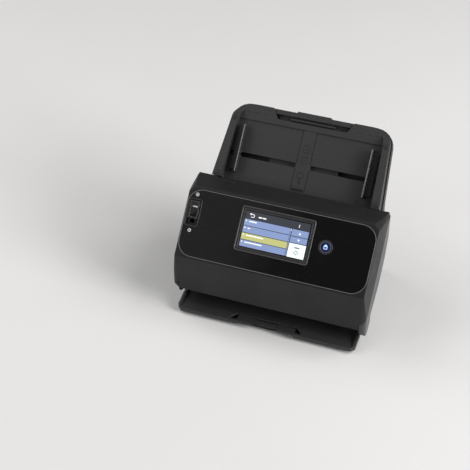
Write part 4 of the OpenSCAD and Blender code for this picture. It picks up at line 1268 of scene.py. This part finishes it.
@dataclass
class HomeKey(Assembly):
    """The lit key: its collar, a painted highlight ring at its inner edge and a lit house."""

    x: float = 72.0
    s: float = 42.6
    face: float = 1.0
    collar: Disc = Disc(10.3, 0.5, 0.2, 64, rim=1.3)
    collar_lift: float = 0.02
    bow: Disc = Disc(7.9, 0.25, 0.15, 64, rim=0.7)
    bow_sink: float = 0.02
    roof: Disc = Disc(4.0, 0.08, sides=4)
    roof_base: float = 1.2
    roof_up: float = 0.2
    walls: Plate = Plate(5.4, 4.4, 0.8, 0.08, rim=0.9)
    walls_down: float = 0.8

    def build(self) -> None:
        """Builds the collar, the painted highlight ring and the lit sign."""
        collar = self.collar.make("home_collar", on_panel(self.x, self.s, self.collar_lift))
        self.dress(collar, "ring_grey", Body.FRONT_UNIT, "ring")
        bow = self.bow.make("home_highlight_ring", on_panel(self.x, self.s, self.face - self.bow_sink))
        roof = self.roof.make("home_roof")
        Bench.cut(roof, (0.0, self.roof_base, 0.0), (0.0, -1.0, 0.0))
        Bench.put(roof, on_panel(self.x, self.s - self.roof_up, self.face))
        walls = self.walls.make("home_walls", on_panel(self.x, self.s + self.walls_down, self.face))
        self.dress(Bench.join([roof, walls], "home_sign"), "lamp_ice", Body.HOME, "lit_button")
        # The ring's light grey is a painted highlight.
        self.dress(bow, "highlight_grey", Body.HOME, "ring")


@dataclass
class FeedTray(Assembly):
    """Small parts of the feed tray: rib signs darkened with painted shade, painted shadow along the
    rib, painted shade at the wall ends and in ticks, grip bar, and flap with painted shade round it.
    """

    rib_top: float = 0.9
    rib_marks: Span = (90.0, 73.0)
    rib_ring: Disc = Disc(6.1, 0.25, 0.1, rim=0.8)
    rib_bar: Plate = Plate(6.0, 0.9, 0.2, 0.25, 0.08)
    rib_bar_turn: float = 35.0
    arrow_stem: Plate = Plate(1.8, 7.0, 0.3, 0.25, 0.08)
    stem_v: float = 45.0
    arrow_tip: Disc = Disc(3.6, 0.25, 0.08, sides=3)
    tip_v: float = 40.4
    arrow_bow: Disc = Disc(5.2, 0.25, 0.08, rim=0.8)
    bow_v: float = 50.5
    shadow_x: float = 10.1
    shadow_runs: tuple[Span, ...] = ((28.0, 59.5), (68.5, 114.0))
    shadow_line: Plate = Plate(1.2, 1.0, 0.4, 0.12)
    shadow_foot: Plate = Plate(18.0, 2.6, 0.5, 0.12)
    foot_v: float = 29.6
    shadow_end: Disc = Disc(1.1, 0.14, sides=24)
    wall_slope: float = math.degrees(math.atan2(10.0, 96.5))
    low_end_shade: Plate = Plate(10.4, 8.0, 2.0, 0.3, 0.12)
    low_end_shade_at: Point = (119.9, 30.0, 19.46)
    high_end_shade: Plate = Plate(7.4, 8.0, 2.0, 0.3, 0.12)
    high_end_shade_at: Point = (115.2, 115.5, 10.6)
    tick: Plate = Plate(1.1, 2.2, 0.4, 0.2, 0.08)
    tick_x: tuple[float, ...] = (-97.0, -85.0, -71.0, 72.0, 86.0, 98.0)
    tick_gap: float = 1.6
    tick_at: Span = (129.0, 1.6)
    grip: Plate = Plate(68.0, 3.8, 1.7, 4.2, 1.1)
    grip_at: Point = (0.0, 129.6, -6.35)
    flap_gap_shade: Plate = Plate(22.0, 8.0, 0.8, 0.2, 0.1)
    flap_plate: Plate = Plate(20.2, 6.4, 0.8, 0.5, 0.1)
    flap_at: Point = (-96.0, -11.2 + PATH.origin_y, 167.6)
    flap_slope: float = 13.3

    def build(self) -> None:
        """Builds the parts in order."""
        self.rib_signs()
        self.rib_shadow()
        self.wall_end_shades()
        self.band_shade_ticks()
        self.grip_bar()
        self.mouth_flap()

    def rib_signs(self) -> None:
        """Builds the raised signs on the rib, darkened with painted shade round their relief: two
        rings with a bar, and a feed arrow below them.
        """
        parts = []
        for v in self.rib_marks:
            parts.append(self.rib_ring.make("rib_ring", PATH.place(0.0, v, self.rib_top)))
            slanted = PATH.place(0.0, v, self.rib_top, self.rib_bar_turn)
            parts.append(self.rib_bar.make("rib_bar", slanted))
        for name, shape, v, turn in (
            ("feed_stem", self.arrow_stem, self.stem_v, 0.0),
            ("feed_tip", self.arrow_tip, self.tip_v, 180.0),
            ("feed_bow", self.arrow_bow, self.bow_v, 0.0),
        ):
            parts.append(shape.make(name, PATH.place(0.0, v, self.rib_top, turn)))
        self.dress(Bench.join(parts, "rib_signs"), "mark_shade_grey", Body.BASE, "tray")

    def rib_shadow(self) -> None:
        """Builds the painted shadow along the rib's right side and across its foot."""
        parts = []
        for low, high in self.shadow_runs:
            line = replace(self.shadow_line, length=high - low)
            parts.append(line.make("shadow_line", PATH.place(self.shadow_x, (low + high) / 2, 0.0)))
        parts.append(self.shadow_foot.make("shadow_foot", PATH.place(0.0, self.foot_v, self.rib_top)))
        end = PATH.place(self.shadow_x, self.shadow_runs[-1][1], 0.0)
        parts.append(self.shadow_end.make("shadow_end", end))
        self.dress(Bench.join(parts, "rib_shadow"), "shadow_black", Body.BASE, "tray")

    def wall_end_shades(self) -> None:
        """Builds dark plates of painted shade at the lower and upper ends of both side walls."""
        parts = []
        lean = turned(-self.wall_slope, "X")
        for side in Side:
            for end_shade, (x, v, w) in ((self.low_end_shade, self.low_end_shade_at), (self.high_end_shade, self.high_end_shade_at)):
                parts.append(end_shade.make("wall_end_shade", PATH.place(side.value * x, v, w) @ lean))
        self.dress(Bench.join(parts, "wall_end_shades"), "mark_shade_grey", Body.BASE, "tray")

    def band_shade_ticks(self) -> None:
        """Builds the small pairs of raised ticks along the tray's upper band, near-black as painted
        shade.
        """
        parts = []
        for x in self.tick_x:
            for step in (-self.tick_gap, self.tick_gap):
                parts.append(self.tick.make("tick", PATH.place(x + step, *self.tick_at)))
        self.dress(Bench.join(parts, "band_shade_ticks"), "shadow_black", Body.BASE, "tray")

    def grip_bar(self) -> None:
        """Builds the rounded bar that the fingers pull, in the extension's pocket."""
        bar = self.grip.make("grip_bar", PATH.place(*self.grip_at))
        self.dress(bar, "tray_grey", Body.FEED_EXT, "tray")

    def mouth_flap(self) -> None:
        """Builds the small flap on the front unit's top, in line with the left guide, over a
        near-black plate whose rim round the flap is painted shade.
        """
        place = shift(*self.flap_at) @ turned(-self.flap_slope, "X")
        gap_shade = self.flap_gap_shade.make("flap_gap_shade", place)
        self.dress(gap_shade, "shadow_black", Body.FRONT_UNIT, "body")
        plate = self.flap_plate.make("flap_plate", place)
        self.dress(plate, "body_black", Body.FRONT_UNIT, "body")


@dataclass
class DocumentGuides(Assembly):
    """Painted highlights along the upper edges of the two document guides, with their small tabs at
    the slot in the same light grey.
    """

    highlight_strip: Plate = Plate(1.4, 71.0, 0.3, 0.7, 0.5, 1)
    highlight_strip_at: Point = (96.75, 72.0, 11.98)
    tab: Plate = Plate(1.0, 1.6, 0.3, 2.2, 0.12)
    tab_at: Point = (95.55, 64.0, 1.2)
    tab_gap: float = 3.0

    def build(self) -> None:
        """Builds a painted highlight strip with two tabs for each guide."""
        for side, body in ((Side.LEFT, Body.GUIDE_LEFT), (Side.RIGHT, Body.GUIDE_RIGHT)):
            x, v, w = self.highlight_strip_at
            parts = [self.highlight_strip.make("guide_highlight_strip", PATH.place(side.value * x, v, w))]
            x, v, w = self.tab_at
            for step in (-self.tab_gap, self.tab_gap):
                parts.append(self.tab.make("guide_tab", PATH.place(side.value * x, v + step, w)))
            edge = Bench.join(parts, side.name.lower() + "_guide_edge_highlight")
            # The light grey strips are painted highlights; the tabs share their grey.
            self.dress(edge, "highlight_grey", body, "guide")


@dataclass
class FrontCorner(Assembly):
    """Lower left corner of the front unit: the small plate that closes it, and the hinge's washer."""

    plate: Plate = Plate(7.0, 9.3, 0.4, 1.1, 0.2)
    plate_at: Point = (-137.7, -118.25 + PATH.origin_y, 42.85)
    slant: Span = (6.0, 5.2)
    washer: Disc = Disc(12.9, 2.0, 0.3, 64, rim=7.0)
    pivot: Point = (-137.2, -104.0 + PATH.origin_y, 36.0)

    def build(self) -> None:
        """Builds the corner plate and the hinge's washer."""
        self.corner_plate()
        washer = self.washer.make("hinge_washer", shift(*self.pivot) @ turned(90.0, "Y"))
        self.dress(washer, "frame_black", Body.BASE, "steel")

    def corner_plate(self) -> None:
        """Builds the plate and trims its outer lower corner."""
        plate = self.plate.make("corner_plate")
        across, up = self.slant
        edge = (across - self.plate.width / 2, -self.plate.length / 2, 0.0)
        Bench.cut(plate, edge, (-up, -across, 0.0))
        Bench.put(plate, shift(*self.plate_at) @ turned(90.0, "X"))
        self.dress(plate, "body_black", Body.FRONT_UNIT, "body")


@dataclass
class EjectTray(Assembly):
    """Bottom of the eject tray's finger pocket, and a painted highlight along its edge."""

    bottom: Plate = Plate(113.0, 11.8, 1.5, 0.7, 0.15)
    bottom_at: Point = (0.0, 10.1 - HALF_DEPTH, 4.85)
    half: Span = (56.0, 46.5)
    depth: float = 11.0
    back_y: float = 15.6 - HALF_DEPTH
    top_z: float = 10.0
    highlight_bar: Plate = Plate(93.0, 0.8, 0.3, 0.3, 0.15, 1)
    highlight_out: float = 0.5

    def build(self) -> None:
        """Builds the pocket's bottom plate and the painted highlight along its edge."""
        bottom = self.bottom.make("pocket_bottom", shift(*self.bottom_at))
        self.dress(bottom, "frame_black", Body.EJECT, "case")
        self.pocket_edge_highlight()

    def pocket_edge_highlight(self) -> None:
        """Builds the painted highlight lines along the pocket's back and its two slanted ends."""
        back = shift(0.0, self.back_y + self.highlight_out, self.top_z)
        parts = [self.highlight_bar.make("pocket_back", back)]
        front, rear = self.half
        end = replace(self.highlight_bar, width=math.hypot(front - rear, self.depth))
        slope = math.degrees(math.atan2(self.depth, rear - front))
        for side in Side:
            x = side.value * ((front + rear) / 2 + self.highlight_out)
            middle = shift(x, self.back_y - self.depth / 2, self.top_z)
            parts.append(end.make("pocket_end", middle @ turned(slope * side.value, "Z")))
        # Light grey lines: painted highlight along the pocket's edge.
        self.dress(Bench.join(parts, "pocket_edge_highlight"), "highlight_line_grey", Body.EJECT, "case")


@dataclass
class RearFace(Assembly):
    """Back of the case: painted shade in the cross recesses of the screw heads."""

    screw_x: Span = (-110.0, 110.0)
    screw_z: tuple[float, ...] = (25.0, 60.0, 130.0)
    head_y: float = 61.4 + PATH.origin_y
    bar: Plate = Plate(3.2, 0.8, 0.2, PRINT)

    def build(self) -> None:
        """Builds the near-black crosses of painted shade on the screw heads."""
        parts = []
        for x in self.screw_x:
            for z in self.screw_z:
                head = shift(x, self.head_y, z) @ turned(-90.0, "X")
                for turn in (0.0, 90.0):
                    parts.append(self.bar.make("cross_bar", head @ turned(turn, "Z")))
        self.dress(Bench.join(parts, "screw_cross_shade"), "shadow_black", Body.BASE, "steel")


@dataclass(frozen=True)
class Lamp:
    """A square soft lamp: its place and side in metres, and its power in watts."""

    name: str
    at: Point
    size: float
    power: float

    def hang(self, aim: Point) -> None:
        """Hangs the lamp so that it faces a point.

        Args:
            aim: The point, in metres.
        """
        data = bpy.data.lights.new(self.name, "AREA")
        data.shape = "SQUARE"
        data.size = self.size
        data.energy = self.power
        lamp = bpy.data.objects.new(self.name, data)
        lamp.location = self.at
        way = Vector(aim) - Vector(self.at)
        lamp.rotation_euler = way.to_track_quat("-Z", "Y").to_euler()
        bpy.context.scene.collection.objects.link(lamp)


@dataclass
class Studio:
    """Pale table, soft lamps and the camera."""

    table: Colour = (0.75, 0.742, 0.735)
    table_size: float = 6.0
    table_rough: float = 0.55
    table_tones: Span = (0.985, 1.015)
    cloud_scale: float = 9.0
    cloud_detail: float = 6.0
    room: float = 0.16
    aim: Point = (0.0, 0.0, 0.08)
    lamps: tuple[Lamp, ...] = (
        Lamp("key_right", (1.5, 0.4, 2.0), 1.4, 29.0),
        Lamp("fill_left", (-1.9, 0.3, 1.9), 1.8, 27.0),
        Lamp("window_right", (3.2, -0.6, 1.5), 1.5, 98.0),
        Lamp("front_left", (-1.9, -1.5, 0.95), 0.9, 13.0),
        Lamp("panel_glow", (-0.94, -1.24, 1.56), 1.0, 1.2),
    )
    eye: Point = (370.75, -1292.78 + PATH.origin_y, 1263.67)
    azimuth: float = 19.624
    elevation: float = 41.388
    roll: float = 0.579
    focal_px: float = 1200.0
    frame_px: float = 470.0
    sensor: float = 36.0
    far_end: float = 20.0

    def build(self) -> None:
        """Builds the stage."""
        self.floor()
        for lamp in self.lamps:
            lamp.hang(self.aim)
        self.world()
        self.camera()

    def floor(self) -> None:
        """Lays the table top."""
        Bench.clear()
        bpy.ops.mesh.primitive_plane_add(size=self.table_size)
        floor = bpy.context.object
        floor.name = "table_top"
        r = Recipe("table_pale")
        clouds = {"Vector": r.coords, "Scale": self.cloud_scale, "Detail": self.cloud_detail}
        cloud = r.node("TexNoise", clouds)
        pale, paler = (shade(self.table, tone) for tone in self.table_tones)
        r.surface(Base_Color=r.mix(cloud.outputs["Fac"], pale, paler), Roughness=self.table_rough)
        floor.data.materials.append(r.material)

    def world(self) -> None:
        """Sets a dim, even room around the lamps."""
        world = bpy.data.worlds.new("studio_room")
        bpy.context.scene.world = world
        world.use_nodes = True
        room = world.node_tree.nodes["Background"]
        room.inputs["Color"].default_value = (1.0, 1.0, 1.0, 1.0)
        room.inputs["Strength"].default_value = self.room

    def camera(self) -> None:
        """Sets the camera where the picture was taken from."""
        a, e, roll = (math.radians(v) for v in (self.azimuth, self.elevation, self.roll))
        back = Vector((math.sin(a) * math.cos(e), -math.cos(a) * math.cos(e), math.sin(e)))
        right = Vector((math.cos(a), math.sin(a), 0.0))
        up = back.cross(right)
        across = math.cos(roll) * right - math.sin(roll) * up
        above = math.sin(roll) * right + math.cos(roll) * up
        turn = Matrix((across, above, back)).transposed().to_4x4()
        data = bpy.data.cameras.new("picture_camera")
        data.sensor_width = self.sensor
        data.lens = self.focal_px / self.frame_px * self.sensor
        data.clip_end = self.far_end
        camera = bpy.data.objects.new("picture_camera", data)
        camera.matrix_world = shift(*self.eye) @ turn
        bpy.context.scene.collection.objects.link(camera)
        bpy.context.scene.camera = camera


ASSEMBLIES: tuple[type[Assembly], ...] = (
    ControlPanel, TouchScreen, FeedLever, HomeKey, FeedTray, DocumentGuides, FrontCorner, EjectTray,
    RearFace,
)


def main() -> None:
    """Builds the sub-assemblies in order."""
    logging.basicConfig(level=logging.INFO, format="%(message)s")
    bpy.context.scene.view_settings.view_transform = "Standard"
    Studio().build()
    paint = Paintshop()
    paint.dress_solids()
    for assembly in ASSEMBLIES:
        LOG.info("building %s", assembly.__name__)
        assembly(paint).build()


if __name__ == "__main__":
    main()
